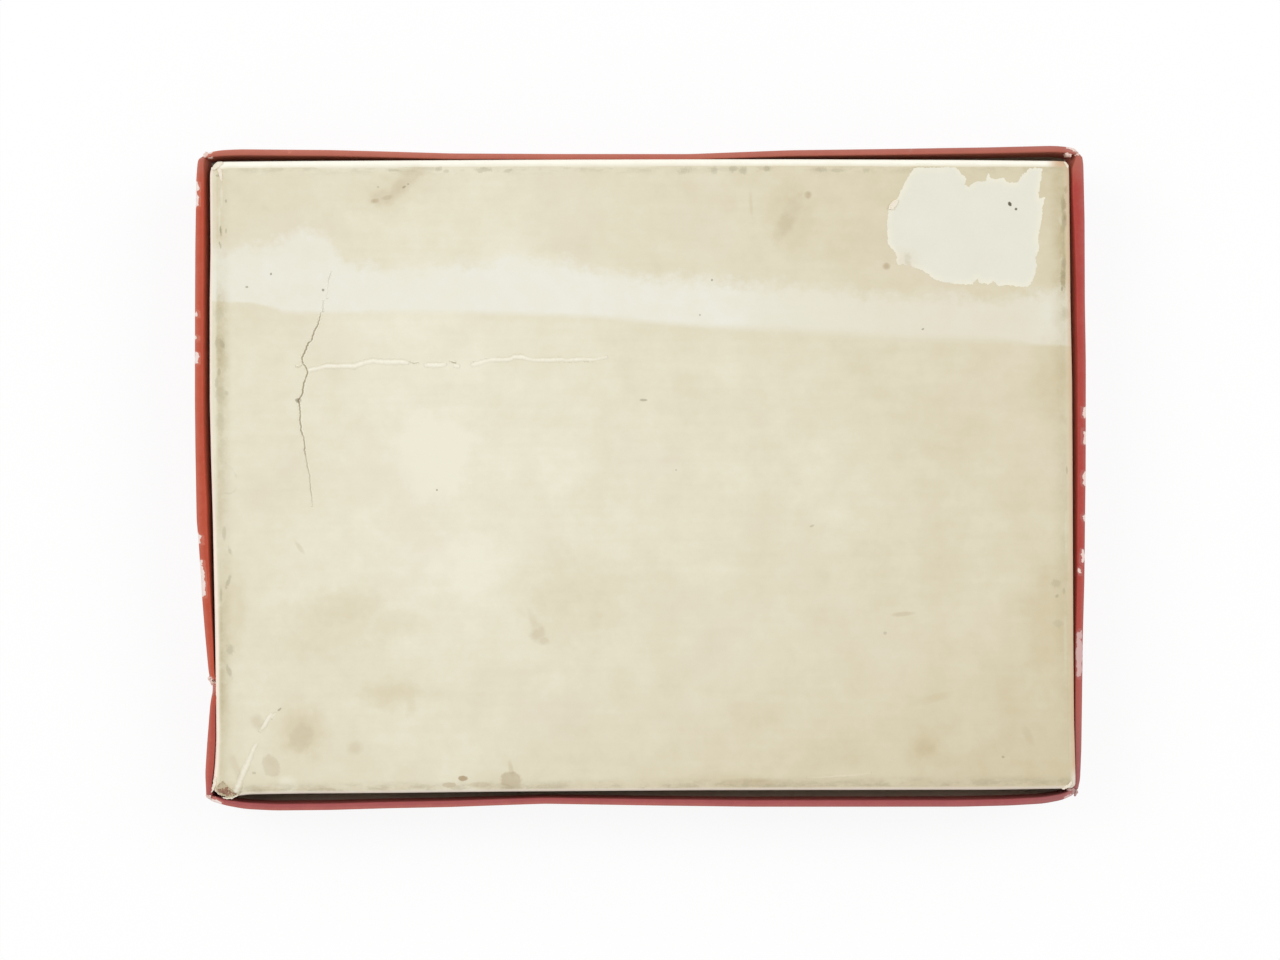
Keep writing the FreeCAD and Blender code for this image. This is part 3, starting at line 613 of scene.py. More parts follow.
# Sections of a crack and of creases: (offset in half widths, lift in millimetres, darkness, paleness).
# On a crack, the paleness of its lips is painted highlight.
CRACK_SECTION = [
    (-2.6, -0.03, 0, 0), (-1.6, 0.03, 0, 0.35), (-0.95, 0.1, 0, 0.5), (-0.55, 0.05, 0.75, 0),
    (0, 0.02, 1, 0), (0.55, 0.05, 0.8, 0), (0.95, 0.08, 0, 0.1), (1.6, 0.03, 0, 0), (2.6, -0.03, 0, 0),
]
# On a crease, paleness is painted highlight and darkness painted shadow; the corner's crease below is the
# same.
CREASE_SECTION = [
    (-3, -0.03, 0.1, 0), (-1.6, 0.03, 0.12, 0), (-0.8, 0.16, 0, 0.6), (0, 0.3, 0, 1),
    (0.8, 0.18, 0, 0.7), (1.6, 0.03, 0, 0), (3, -0.03, 0, 0),
]
CORNER_SECTION = [
    (-2.4, -0.03, 0, 0), (-1.5, 0.06, 0.04, 0.2), (-0.7, 0.2, 0, 0.8), (0.1, 0.26, 0, 1),
    (0.7, 0.14, 0, 0.6), (1.5, 0.03, 0.12, 0), (2.4, -0.03, 0, 0),
]
# The bare patch left by a label, as an outline of pixel places.
LABEL_SCAR = [
    (914.3, 167.5), (908, 177), (903, 187), (897, 198.6), (893.6, 201), (888, 208.6), (888.6, 213),
    (887.1, 224.3), (887.5, 235), (887.9, 244.3), (891, 248), (894.3, 251.4), (897, 256), (896, 261),
    (899, 265.5), (903, 263.5), (906, 266), (909, 262.5), (912, 267), (917, 268), (922, 270.5),
    (928.6, 274.3), (935.7, 280), (944.3, 282.1), (955.7, 284.3), (972.9, 284.3), (977, 279),
    (980, 282.9), (988.6, 284.3), (992.9, 281.4), (998.6, 285.7), (1008.6, 285), (1015.7, 286.4),
    (1027, 287), (1031.4, 282.9), (1035.7, 272.9), (1037, 265.7), (1035, 258.6), (1039.3, 248.6),
    (1037.9, 238.6), (1040, 228.6), (1042, 217), (1042.9, 205.7), (1045.4, 197), (1039, 199),
    (1039.6, 188.6), (1041.4, 178.6), (1042, 168), (1030, 168), (1020.7, 177), (1017, 182.9),
    (1007, 182), (1004, 177.9), (997, 178.6), (991.4, 178.6), (987.9, 172.9), (985.7, 181.4),
    (977, 181.4), (971.4, 184.3), (968.6, 187), (964.3, 184.3), (966.4, 178.6), (961.4, 172.9),
    (955.7, 167.5),
]


def flat_level(x, y):
    """Height of the sheet's waves, before its corner is bent down."""
    return TRAY_TOP - SHEET_SINK + SHEET_WAVE * ripple(x, y, SHEET_WAVE_SIZE, SHEET_WAVE_SEED)


def paper_level(x, y):
    """Height of the worn underside's paper at a place."""
    return flat_level(x, y) - corner_droop(x, y)


def make_sheet():
    """A thin closed skin over the tray's underside, a little wavy, thinner at its pasted-down edges."""
    a, b = TRAY_HALF
    xs = refined(-a + SHEET_LEFT, a - SHEET_RIGHT, SHEET_STEP)
    ys = refined(-b + SHEET_BOTTOM, b - SHEET_TOP, SHEET_STEP)
    grid_x, grid_y = (grid.ravel() for grid in np.meshgrid(xs, ys))
    edge_x = np.minimum(grid_x - xs[0], xs[-1] - grid_x)
    edge_y = np.minimum(grid_y - ys[0], ys[-1] - grid_y)
    pasted = unit(1 - np.minimum(edge_x, edge_y) / SHEET_STEP)
    upper = wear_tray(np.column_stack([grid_x, grid_y, flat_level(grid_x, grid_y) - SHEET_PASTED * pasted]))
    index = np.arange(len(grid_x)).reshape(len(ys), len(xs))
    border = np.concatenate([index[0, :], index[1:, -1], index[-1, -2::-1], index[-2:0:-1, 0]])
    lower = upper[border] - np.array([0, 0, SHEET_EDGE])
    below = len(grid_x) + np.arange(len(border))
    skirt = np.stack([below, np.roll(below, -1), np.roll(border, -1), border], axis=1)
    faces = [*quads(index), *skirt, below[::-1]]
    return new_object("tray_sheet", np.vstack([upper, lower]), faces, smooth=60)


RIBBON_STEP = 0.45 * MM
RIBBON_FOOT = 0.3 * MM
RIBBON_BLUR = 4
# Share of a ribbon's width, and of its height, that it keeps where its strength is 0.
LEAST_WIDTH = 0.45
LEAST_LIFT = 0.25
# How unevenly its strength varies, within limits, and how much sooner than pale it is fully dark.
UNEVEN, LEAST_SHARE, MOST_SHARE = 0.12, 0.6, 1.3
DARKER = 1.15


def ribbon(path, section, half_width, seed, shake):
    """A ridge or crack along a path of (px, py, strength): points, faces, darkness and paleness."""
    rng = np.random.default_rng(seed)
    spots = places([(px, py) for px, py, _ in path])
    strengths = np.array([strength for *_, strength in path])
    travel = np.concatenate([[0], np.cumsum(np.linalg.norm(np.diff(spots, axis=0), axis=1))])
    steps = np.linspace(0, travel[-1], max(4, int(travel[-1] / RIBBON_STEP)))
    centre = np.column_stack([np.interp(steps, travel, spots[:, k]) for k in (0, 1)])
    shares = np.clip(rng.normal(1, UNEVEN, len(steps)), LEAST_SHARE, MOST_SHARE)
    strength = np.interp(steps, travel, strengths) * shares
    even = np.pad(np.gradient(centre, axis=0), ((RIBBON_BLUR, RIBBON_BLUR), (0, 0)), mode="edge")
    ways = sum(even[k:k + len(steps)] for k in range(2 * RIBBON_BLUR + 1))
    ways /= np.linalg.norm(ways, axis=1)[:, None]
    across = np.column_stack([ways[:, 1], -ways[:, 0]])
    centre += across * rng.normal(0, shake, (len(steps), 1))
    width = half_width * (LEAST_WIDTH + (1 - LEAST_WIDTH) * strength)
    height = LEAST_LIFT + (1 - LEAST_LIFT) * strength
    rings, dark, pale = [], [], []
    for offset, lift, darkness, paleness in section:
        place = centre + across * (offset * width)[:, None]
        level = paper_level(*place.T) + lift * MM * (height if lift > 0 else 1)
        rings.append(np.column_stack([place, level]))
        dark.append(darkness * unit(strength * DARKER))
        pale.append(paleness * unit(strength))
    for ring in (rings[-1], rings[0]):
        rings.append(ring - np.array([0, 0, RIBBON_FOOT]))
        dark.append(np.zeros(len(steps)))
        pale.append(np.zeros(len(steps)))
    points = np.stack(rings, axis=1)
    index = np.arange(points[..., 0].size).reshape(points.shape[:2])
    faces = [*quads(index, close_columns=True), index[0, ::-1], index[-1]]
    return points.reshape(-1, 3), faces, np.stack(dark, axis=1).ravel(), np.stack(pale, axis=1).ravel()


def make_ribbons(name, paths, section, half_width, shake):
    made = [ribbon(path, section, half_width, seed, shake) for seed, path in enumerate(paths)]
    item = new_object(name, *gather([(points, faces) for points, faces, *_ in made]), smooth=180)
    add_field(item, "crack", np.concatenate([dark for *_, dark, _ in made]))
    add_field(item, "ridge", np.concatenate([pale for *_, pale in made]))
    return item


SCRAP_STEP = 0.5 * MM
CRUMPLE_LIMIT = 1.5
# For its triangles: the way that keeps those inside the outline, and how near, in millimetres, two points
# count as one.
INSIDE_ONLY = 1
SAME_POINT = 1e-5


def scrap(outline, seen_at, level, thick, seed, spacing, ragged, crumple):
    """Points and faces of a thin torn scrap with an outline of pixel places, seen at one height.

    Level gives the scrap's height at each place.
    """
    rng = np.random.default_rng(seed)
    corners = places(outline, seen_at)
    edge = []
    for start, end in zip(corners, np.roll(corners, -1, axis=0)):
        edge += line(start, end, max(1, int(np.linalg.norm(end - start) / SCRAP_STEP)))
    edge = np.array(edge) + rng.normal(0, ragged, (len(edge), 2))
    low, high = edge.min(axis=0), edge.max(axis=0)
    inner = [(x, y) for x in np.arange(low[0], high[0], spacing) for y in np.arange(low[1], high[1], spacing)]
    spots = [Vector(spot / MM) for spot in np.vstack([edge, inner])]
    found, _, triangles, *_ = delaunay_2d_cdt(spots, [], [list(range(len(edge)))], INSIDE_ONLY, SAME_POINT)
    used = sorted({corner for triangle in triangles for corner in triangle})
    renumber = {old: new for new, old in enumerate(used)}
    triangles = [[renumber[corner] for corner in triangle] for triangle in triangles]
    kept = np.array([found[old] for old in used]) * MM
    crumples = rng.normal(0, 1, len(kept)).clip(-CRUMPLE_LIMIT, CRUMPLE_LIMIT)
    top = np.column_stack([kept, level(*kept.T) + crumple * crumples])
    count = len(kept)
    sides = {}
    for triangle in triangles:
        for start, end in zip(triangle, triangle[1:] + triangle[:1]):
            if sides.pop((end, start), None) is None:
                sides[(start, end)] = True
    faces = triangles + [[count + k for k in reversed(triangle)] for triangle in triangles]
    faces += [(end, start, count + start, count + end) for start, end in sides]
    return np.vstack([top, top - np.array([0, 0, thick])]), faces


def on_sheet(outline, lift, thick, seed, spacing=0.9 * MM, ragged=0.12 * MM, crumple=0.14 * MM):
    def level(x, y):
        return paper_level(x, y) + lift

    return scrap(outline, TRAY_TOP, level, thick, seed, spacing, ragged, crumple)


def on_rim(outline, seed, drop=0.4 * MM, thick=3.6 * MM):
    height = LID_RIM - drop

    def level(x, y):
        return np.full(len(x), height)

    return scrap(outline, height, level, thick, seed, spacing=0.7 * MM, ragged=0.25 * MM, crumple=0.35 * MM)


def make_scraps(name, scraps, smooth=50):
    return new_object(name, *gather(scraps), smooth)


tray_sheet = make_sheet()
sheet_cracks_and_shade = make_ribbons("sheet_cracks_and_shade", CRACKS_AND_CREASE_SHADE, CRACK_SECTION, half_width=0.5 * MM, shake=0.09 * MM)
sheet_creases = make_ribbons("sheet_creases", CREASES, CREASE_SECTION, half_width=0.6 * MM, shake=0.06 * MM)
corner_crease = make_ribbons("corner_crease", [CORNER_CREASE], CORNER_SECTION,
                             half_width=0.95 * MM, shake=0.1 * MM)
label_scar = make_scraps("label_scar", [
    on_sheet(LABEL_SCAR, lift=0.04 * MM, thick=0.3 * MM, seed=5,
             spacing=1.2 * MM, ragged=0.16 * MM, crumple=0.0)], smooth=30)
# Torn bits at the label and at the tray's corners: lift and thickness in millimetres, outline in pixels.
TORN_BITS = [
    (0.6, 0.9, [(888, 209), (889.5, 204), (893.5, 200.5), (898.5, 199.5), (897, 204.5), (893, 209.5)]),
    (0.1, 0.7, [(211, 168.5), (213.5, 165), (217, 162.5), (222, 161.5), (223, 163.5), (219, 166), (216, 169),
     (212, 171)]),
    (0.1, 0.5, [(217.5, 169), (219.5, 168), (222, 172), (222.5, 178), (221.2, 182), (219.4, 176)]),
    (0, 0.6, [(1062.5, 161), (1066, 162.5), (1068.6, 166.5), (1067.8, 168.5), (1065.6, 165)]),
    (0, 0.7, [(1062, 788.5), (1067, 785.5), (1071.5, 781), (1073, 782.5), (1069, 787), (1064, 789.5)]),
    (0.1, 1, [(210.5, 793), (212.5, 784), (214.5, 776), (216.5, 778), (215.5, 785), (213, 791)]),
    (-0.1, 1, [(221, 797), (228, 797.5), (234, 796), (238, 793.5), (239, 795), (233, 798.5), (225, 799)]),
]
# The torn wedge at the bent corner: bare board, and two darker plies on it.
WEDGE = [
    (214.5, 789), (217.5, 786), (222, 781.5), (227, 786), (232, 790), (236.5, 794.5), (231, 796.5),
    (226, 797), (219, 794.5),
]
PLY_LOW = [
    (217.5, 789.5), (220.5, 788.2), (223.5, 788.8), (226.5, 787.5), (230, 790), (233, 792),
    (236, 794.3), (231.5, 796), (226.5, 796.2), (221, 793.5),
]
PLY_HIGH = [(222, 790.5), (225, 789.8), (228.5, 791.5), (226.5, 793), (223.5, 792.3)]
# Frayed bits at the lid's corners and at the tear, and dull ones at the near right corner.
RIM_BITS = [
    [(203, 154), (205, 151.5), (208, 152.5), (209, 155), (206.5, 157.5), (204, 157)],
    [(208.5, 154), (212, 153.5), (213.5, 155.5), (211, 158.5), (208.5, 157.5)],
    [(1064, 153.5), (1069, 152.2), (1073, 154), (1071, 156.5), (1066, 156.5)],
    [(1073.5, 153), (1078, 151.8), (1079.5, 154.5), (1076, 157.5)],
    [(206, 796), (208, 794), (211, 795.5), (212, 798), (209, 799.5)],
    [(212, 796.5), (216, 797), (215.5, 799.2), (212.5, 799.5)],
    [(207.5, 677.5), (209.5, 676.5), (212, 679.5), (213.5, 684), (211, 685), (209.5, 681)],
]
DULL_BITS = [
    [(1067, 790), (1071, 787.5), (1075, 789), (1074, 794), (1069, 795)],
    [(1074.5, 789), (1077.5, 789), (1078, 793.5), (1075, 796)],
]
paper_curls = make_scraps("paper_curls", [
    on_sheet(outline, lift * MM, thick * MM, 11 + seed)
    for seed, (lift, thick, outline) in enumerate(TORN_BITS)])
bare_corner = make_scraps("bare_corner", [
    on_sheet(WEDGE, lift=0.3 * MM, thick=1.4 * MM, seed=21,
             spacing=0.7 * MM, ragged=0.2 * MM, crumple=0.2 * MM)])
bare_plies = make_scraps("bare_plies", [
    on_sheet(PLY_LOW, lift=0.45 * MM, thick=0.5 * MM, seed=22,
             spacing=0.6 * MM, ragged=0.25 * MM, crumple=0.2 * MM),
    on_sheet(PLY_HIGH, lift=0.7 * MM, thick=0.4 * MM, seed=23,
             spacing=0.5 * MM, ragged=0.2 * MM, crumple=0.2 * MM)])
lid_frays = make_scraps("lid_frays", [on_rim(outline, 31 + seed) for seed, outline in enumerate(RIM_BITS)])
dull_frays = make_scraps("dull_frays", [on_rim(outline, 41 + seed) for seed, outline in enumerate(DULL_BITS)])


# Materials are node trees. Paint wraps one tree in short calls, and a Value is a number worked out in it.


def linear(value):
    """A display value from 0 to 255 as linear light from 0 to 1."""
    share = value / 255
    return share / 12.92 if share <= 0.04045 else ((share + 0.055) / 1.055) ** 2.4


def colour_of(rgb):
    return (*[linear(value) for value in rgb], 1.0)


class Value:
    """A number of a node tree. The usual signs add the nodes that work it out."""

    def __init__(self, paint, socket):
        self.paint = paint
        self.socket = socket

    def __add__(self, other):
        return self.paint.math("ADD", self, other)

    def __radd__(self, other):
        return self.paint.math("ADD", other, self)

    def __sub__(self, other):
        return self.paint.math("SUBTRACT", self, other)

    def __rsub__(self, other):
        return self.paint.math("SUBTRACT", other, self)

    def __mul__(self, other):
        return self.paint.math("MULTIPLY", self, other)

    def __abs__(self):
        return self.paint.math("ABSOLUTE", self)


class Paint:
    """One material, whose colour is built up coat by coat. Its x, y and z are in millimetres."""

    def __init__(self, name):
        self.material = bpy.data.materials.new(name)
        self.material.use_nodes = True
        self.tree = self.material.node_tree
        self.shader = self.tree.nodes["Principled BSDF"]
        self.colour = None
        self.turned = {}
        place = self.add("ShaderNodeTexCoord").outputs["Object"]
        self.place = self.vector("SCALE", {0: place, "Scale": 1 / MM}).outputs[0]
        self.x, self.y, self.z = self.split(self.place)

    def link(self, value, socket):
        """Joins a Value or a socket to a socket, or gives it a plain value."""
        if isinstance(value, Value):
            value = value.socket
        if isinstance(value, bpy.types.NodeSocket):
            self.tree.links.new(value, socket)
        else:
            socket.default_value = value

    def add(self, kind, inputs=(), **settings):
        """A node with its settings, and with what is linked to or set on its inputs."""
        node = self.tree.nodes.new(kind)
        for name, value in settings.items():
            setattr(node, name, value)
        for key, value in dict(inputs).items():
            self.link(value, node.inputs[key])
        return node

    def vector(self, operation, inputs):
        return self.add("ShaderNodeVectorMath", inputs, operation=operation)

    def split(self, vector):
        return [Value(self, socket) for socket in self.add("ShaderNodeSeparateXYZ", {0: vector}).outputs]

    def math(self, operation, first, second=0.0, third=0.0, clamp=False):
        inputs = {0: first, 1: second, 2: third}
        node = self.add("ShaderNodeMath", inputs, operation=operation, use_clamp=clamp)
        return Value(self, node.outputs[0])

    def most(self, *values):
        return reduce(partial(self.math, "MAXIMUM"), values)

    def least(self, *values):
        return reduce(partial(self.math, "MINIMUM"), values)

    def step(self, value, low, high, top=1.0):
        """0 at low, top at high, smooth between; low may be above high."""
        inputs = {"Value": value, "From Min": low, "From Max": high, "To Max": top}
        return Value(self, self.add("ShaderNodeMapRange", inputs, interpolation_type="SMOOTHSTEP").outputs[0])

    def noise(self, size, detail=3.0, rough=0.55, stretch=(1, 1, 1), seed=0.0):
        """Noise from 0 to 1 whose lumps are about size millimetres; stretch is finer above 1."""
        shift, scale = (seed, 1.7 * seed, 0.3 * seed), [k / size for k in stretch]
        moved = self.add("ShaderNodeMapping", {"Vector": self.place, "Location": shift, "Scale": scale})
        inputs = {"Vector": moved.outputs[0], "Scale": 1.0, "Detail": detail, "Roughness": rough}
        return Value(self, self.add("ShaderNodeTexNoise", inputs).outputs["Fac"])

    def swing(self, noise, amount):
        """A noise about zero."""
        return self.math("MULTIPLY_ADD", noise, amount, -amount / 2)

    def field(self, name):
        return Value(self, self.add("ShaderNodeAttribute", attribute_name=name).outputs["Fac"])

    def curve(self, value, points):
        """A value looked up on straight runs through (place, result) points."""
        spots, results = np.array(sorted(points)).T
        low, high, base, reach = spots[0], spots[-1], results.min(), np.ptp(results)
        share = self.math("DIVIDE", value - low, high - low, clamp=True)
        node = self.add("ShaderNodeFloatCurve", {"Value": share})
        track = node.mapping.curves[0]
        knots = np.column_stack([(spots - low) / (high - low), (results - base) / reach]).tolist()
        track.points[0].location = knots[0]
        track.points[1].location = knots[-1]
        for knot in knots[1:-1]:
            track.points.new(*knot)
        for point in track.points:
            point.handle_type = "VECTOR"
        node.mapping.update()
        return self.math("MULTIPLY_ADD", node.outputs[0], reach, base)

    def mix(self, factor, first, second):
        """From the first colour to the second; a colour is a socket or display values from 0 to 255."""
        first, second = (colour_of(k) if isinstance(k, tuple) else k for k in (first, second))
        inputs = {0: factor, 6: first, 7: second}
        return self.add("ShaderNodeMix", inputs, data_type="RGBA", clamp_factor=True).outputs[2]

    def base(self, factor, first, second):
        """The ground of the colour, between two."""
        self.colour = self.mix(factor, first, second)

    def coat(self, factor, colour):
        """Another colour over the one so far."""
        self.colour = self.mix(factor, self.colour, colour)

    def turn(self, angle):
        """The place turned back by an angle in degrees, worked out once for each angle."""
        if angle not in self.turned:
            inputs = {"Vector": self.place, "Angle": -math.radians(angle)}
            node = self.add("ShaderNodeVectorRotate", inputs, rotation_type="Z_AXIS")
            self.turned[angle] = node.outputs[0]
        return self.turned[angle]

    def blobs(self, spots, soft, noise, rough=1.5):
        """The most of several marks, ellipses whose edges are soft and roughened by a noise."""
        shake = self.swing(noise, rough)
        total = 0.0
        for px, py, wide, tall, weight, *turned in spots:
            angle = turned[0] if turned else 0
            x, y = at(px, py) / MM
            c, s = math.cos(math.radians(angle)), math.sin(math.radians(angle))
            shift = (-(c * x + s * y) / wide, (s * x - c * y) / tall, 0)
            inputs = {0: self.turn(angle), 1: (1 / wide, 1 / tall, 0), 2: shift}
            away = self.vector("LENGTH", {0: self.vector("MULTIPLY_ADD", inputs).outputs[0]})
            edge = Value(self, away.outputs["Value"]) + shake
            total = self.most(total, self.step(edge, 1 + soft / 2, 1 - soft / 2, weight))
        return total

    def bump(self, height, millimetres, strength):
        inputs = {"Strength": strength, "Distance": millimetres * MM, "Height": height}
        self.link(self.add("ShaderNodeBump", inputs).outputs["Normal"], self.shader.inputs["Normal"])

    def finish(self, roughness, specular=0.25):
        inputs = {"Base Color": self.colour, "Roughness": roughness, "Specular IOR Level": specular}
        for key, value in inputs.items():
            self.link(value, self.shader.inputs[key])
        return self.material


def down_side(points, px):
    """(py, amount) pairs as (y in millimetres, amount)."""
    return [(at(px, py)[1] / MM, amount) for py, amount in points]


def across_side(points, py):
    """(px, amount) pairs as (x in millimetres, amount)."""
    return [(at(px, py)[0] / MM, amount) for px, amount in points]


# Marks on the sheet, as ellipses: pixel place, half width and half height in millimetres, weight, and turn
# in degrees for those that are turned.
STAINS_AND_SHADOWS = [
    (375, 201, 1.8, 1.1, 0.42, 10), (387, 197.5, 2.4, 1, 0.34, 15), (384, 198, 6, 3, 0.16, 15),
    (402, 185, 9, 2.8, 0.2, 50), (414, 173, 5, 2.4, 0.18, 60), (421, 171, 4, 2, 0.16, 20),
    (788, 219, 3, 9, 0.2, -29), (808, 195, 1.3, 1.4, 0.42), (751, 203, 0.7, 4.5, 0.14, 4),
    (538, 634, 3.2, 2.6, 0.22, 40), (543, 641, 2, 1.8, 0.2), (534, 622, 1.5, 5, 0.1, 20),
    (511, 769, 0.8, 3, 0.18, 10), (478, 785, 4.5, 1, 0.25), (355, 748, 3, 2.8, 0.15),
    (925, 748, 3.6, 4.2, 0.12), (1028, 735, 1.6, 4, 0.13, 30), (887, 266, 1.3, 1.3, 0.5),
    # The marks at (236, 768) and (258, 722) are painted shadow on the left of the corner's crease.
    (757, 783, 14, 1.6, 0.25), (300, 548, 0.8, 3, 0.2, 35), (236, 768, 1.5, 6, 0.14, 20),
    (904, 614, 4.5, 0.8, 0.22, 5), (300, 735, 5, 7, 0.08), (258, 722, 2.4, 3, 0.2, 20),
]
CRISP_STAINS = [
    (511, 780.5, 4.3, 3.6, 0.42), (463, 778.5, 2, 1.1, 0.7), (449, 785, 2.9, 1.1, 0.45),
    (271, 766, 3.4, 4.8, 0.24, 20), (301, 738, 4.6, 6, 0.1, -20),
]
# Small dark smudges along the edges.
SMUDGES = [
    (1066, 190, 0.8, 1.4, 0.5), (1063.6, 204, 1.1, 3, 0.75), (1064.4, 220, 1, 4, 0.65),
    (1062.6, 229, 0.9, 1.6, 0.6), (1063, 244, 0.7, 1.8, 0.35), (1064, 264, 1, 3, 0.65),
    (1063, 278, 1, 3.8, 0.9), (1066, 313, 1.6, 2.2, 0.25), (1057, 596, 0.6, 0.7, 0.4),
    (1064, 591, 0.5, 1.2, 0.35), (1056, 583, 2, 1.6, 0.25), (1058, 624, 1.8, 1.6, 0.2),
    (221, 232, 0.4, 2, 0.5), (226, 231, 0.4, 0.9, 0.4), (220.6, 246, 0.4, 1, 0.4),
    (219, 314, 1.9, 2.8, 0.22), (217, 342, 0.8, 2.2, 0.36), (221, 347, 1.8, 3, 0.25),
    (216.5, 383, 0.7, 2.4, 0.32), (220, 393, 1.9, 3.4, 0.25), (226, 393, 0.9, 0.9, 0.3),
    (220, 421, 1.7, 3.8, 0.2), (224, 533, 0.7, 2.4, 0.28), (230, 551, 0.7, 1.6, 0.28, 20),
    (228, 582, 0.7, 2.8, 0.38, -20), (221, 595, 0.5, 2.4, 0.28), (230, 650, 1.7, 1.8, 0.3),
    (229, 671, 0.8, 2.8, 0.36, 20), (394, 170.3, 2.6, 0.5, 0.26), (439, 168.6, 1.4, 1, 0.26, 20),
    (446, 171, 1, 0.6, 0.22), (484, 169.5, 3.4, 0.8, 0.3), (480, 171.6, 1, 0.5, 0.3),
    (508, 170.6, 1.6, 0.7, 0.26, 10), (684, 170.8, 2.4, 1.2, 0.26, 20), (714, 170.5, 1.3, 1.6, 0.22),
    (733, 169, 1.6, 1.2, 0.36), (743, 170.4, 1.6, 1.5, 0.34), (767, 168.8, 1.3, 1.2, 0.34),
    (822, 169.4, 2.4, 1, 0.28), (837, 170.4, 2.8, 0.7, 0.24), (866, 170.2, 1.6, 1, 0.2),
]
SMEARS = [
    (340, 610, 17, 7, 0.3, 10), (395, 622, 12, 6, 0.2), (390, 694, 11, 6, 0.32),
    (410, 698, 2.4, 6, 0.3), (300, 730, 10, 11, 0.34), (330, 625, 20, 12, 0.2), (575, 600, 20, 16, 0.2),
    (790, 215, 9, 14, 0.26, 10), (395, 190, 16, 8, 0.22, 20), (1050, 380, 8, 16, 0.28),
    (1050, 620, 9, 22, 0.3), (935, 698, 9, 1.6, 0.28, 15), (725, 780, 14, 3, 0.3),
    (232, 610, 5, 20, 0.25), (925, 742, 6, 6, 0.25), (1015, 700, 6, 10, 0.22, 20),
]
# The first two specks lie on the label's bare patch.
SPECKS = [
    (1010, 204, 0.7, 1, 0.95, 20), (1016, 209, 0.6, 0.55, 0.85), (643, 400, 1.7, 0.5, 0.4),
    (437, 490, 0.4, 0.4, 0.6), (271, 274, 0.4, 0.5, 0.6), (247, 287, 0.6, 0.4, 0.5),
    (323, 290, 0.5, 0.5, 0.6), (712, 280, 0.4, 0.5, 0.5), (700, 315, 0.4, 0.4, 0.4),
    (923, 329, 0.6, 0.4, 0.5, 30), (1003, 757, 0.7, 0.5, 0.35), (298.3, 400.3, 1.2, 1.1, 0.6),
    (676, 470, 0.4, 0.4, 0.3), (812, 526, 0.9, 0.4, 0.25, 20), (885, 633, 0.7, 0.6, 0.22),
    (404, 187, 0.8, 0.4, 0.45, 30), (408, 184, 0.4, 0.3, 0.4), (378, 187, 0.5, 0.5, 0.25),
    (226, 201, 0.4, 0.7, 0.35), (220.3, 230, 0.3, 1.8, 0.5), (219.4, 243, 0.3, 0.8, 0.4),
    (217.5, 175.5, 0.8, 0.5, 0.35), (220, 165.5, 0.6, 0.4, 0.35, 30),
    (279.5, 709.5, 0.9, 0.4, 0.45, 40), (254, 773, 0.8, 0.5, 0.25), (222, 344, 0.8, 2, 0.35, 20),
    (219, 372, 0.6, 1.6, 0.35), (1062, 289, 0.4, 1, 0.6), (1065, 218, 0.3, 1.2, 0.5),
    (1067, 470, 0.4, 1.6, 0.3),
]
PALE_PATCHES = [
    (435, 455, 12, 16, 0.6), (560, 470, 10, 12, 0.3), (250, 680, 8, 10, 0.4), (470, 560, 14, 12, 0.35),
    (350, 330, 14, 8, 0.3), (840, 480, 16, 20, 0.35), (288, 786, 3.4, 4, 0.9, 20),
    (248, 792, 3.2, 1.6, 0.9), (1060.5, 221, 0.5, 1.4, 1.6), (1062, 257, 0.5, 2, 1.6),
    (221.5, 196, 0.5, 4, 1), (219.5, 222, 0.4, 5, 1), (1066, 540, 0.5, 9, 0.8),
    (1065.5, 640, 0.7, 10, 0.9),
]
# The lower left of the label's tear feathers out.
FEATHERED = [(902, 262, 6, 5, 0.6)]
FEATHER_DIRT = [(907.5, 259, 1.4, 2.4, 0.4)]
# How dark the left and right edges are with grime: (pixel down the side, amount), and the pixel column.
LEFT_GRIME = [
    (160, 0.2), (190, 0.3), (250, 0.3), (280, 0.2), (310, 0.7), (365, 0.85), (400, 0.5), (470, 0.55),
    (520, 0.4), (580, 0.3), (620, 0.65), (700, 0.65), (740, 0.35), (800, 0.3),
]
RIGHT_GRIME = [
    (160, 0.3), (180, 0.8), (285, 0.9), (310, 0.45), (480, 0.45), (560, 0.4), (640, 0.35), (800, 0.25),
]
LEFT_COLUMN, RIGHT_COLUMN = 220, 1063
# Edges of the ghost that a tape has left across the sheet.
TAPE_LOW = [
    (205, 301), (250, 302.5), (268, 306), (285, 312), (345, 312.5), (400, 311), (500, 312.5),
    (600, 316.5), (700, 326), (800, 330), (900, 337), (1000, 340), (1040, 345), (1075, 346),
]
TAPE_HIGH = [
    (205, 250), (235, 246), (262, 243), (285, 235), (300, 228), (325, 236), (345, 260), (390, 268),
    (480, 262), (510, 252), (560, 260), (620, 274), (760, 282), (860, 291), (1000, 297), (1035, 292),
    (1060, 286), (1075, 284),
]
# How soft its lower edge is in millimetres, and how well it shows: (pixel across, amount), and the row.
TAPE_BLUR = [
    (205, 0.6), (262, 0.6), (285, 1.6), (345, 1.2), (400, 1.6), (700, 2), (800, 3), (900, 3.5),
    (1000, 2.5), (1045, 0.8), (1075, 0.6),
]
TAPE_SHOW = [
    (205, 0.9), (300, 0.95), (540, 1.1), (720, 1.05), (790, 0.65), (1010, 0.55), (1045, 0.7),
    (1075, 0.8),
]
TAPE_ROW = 320


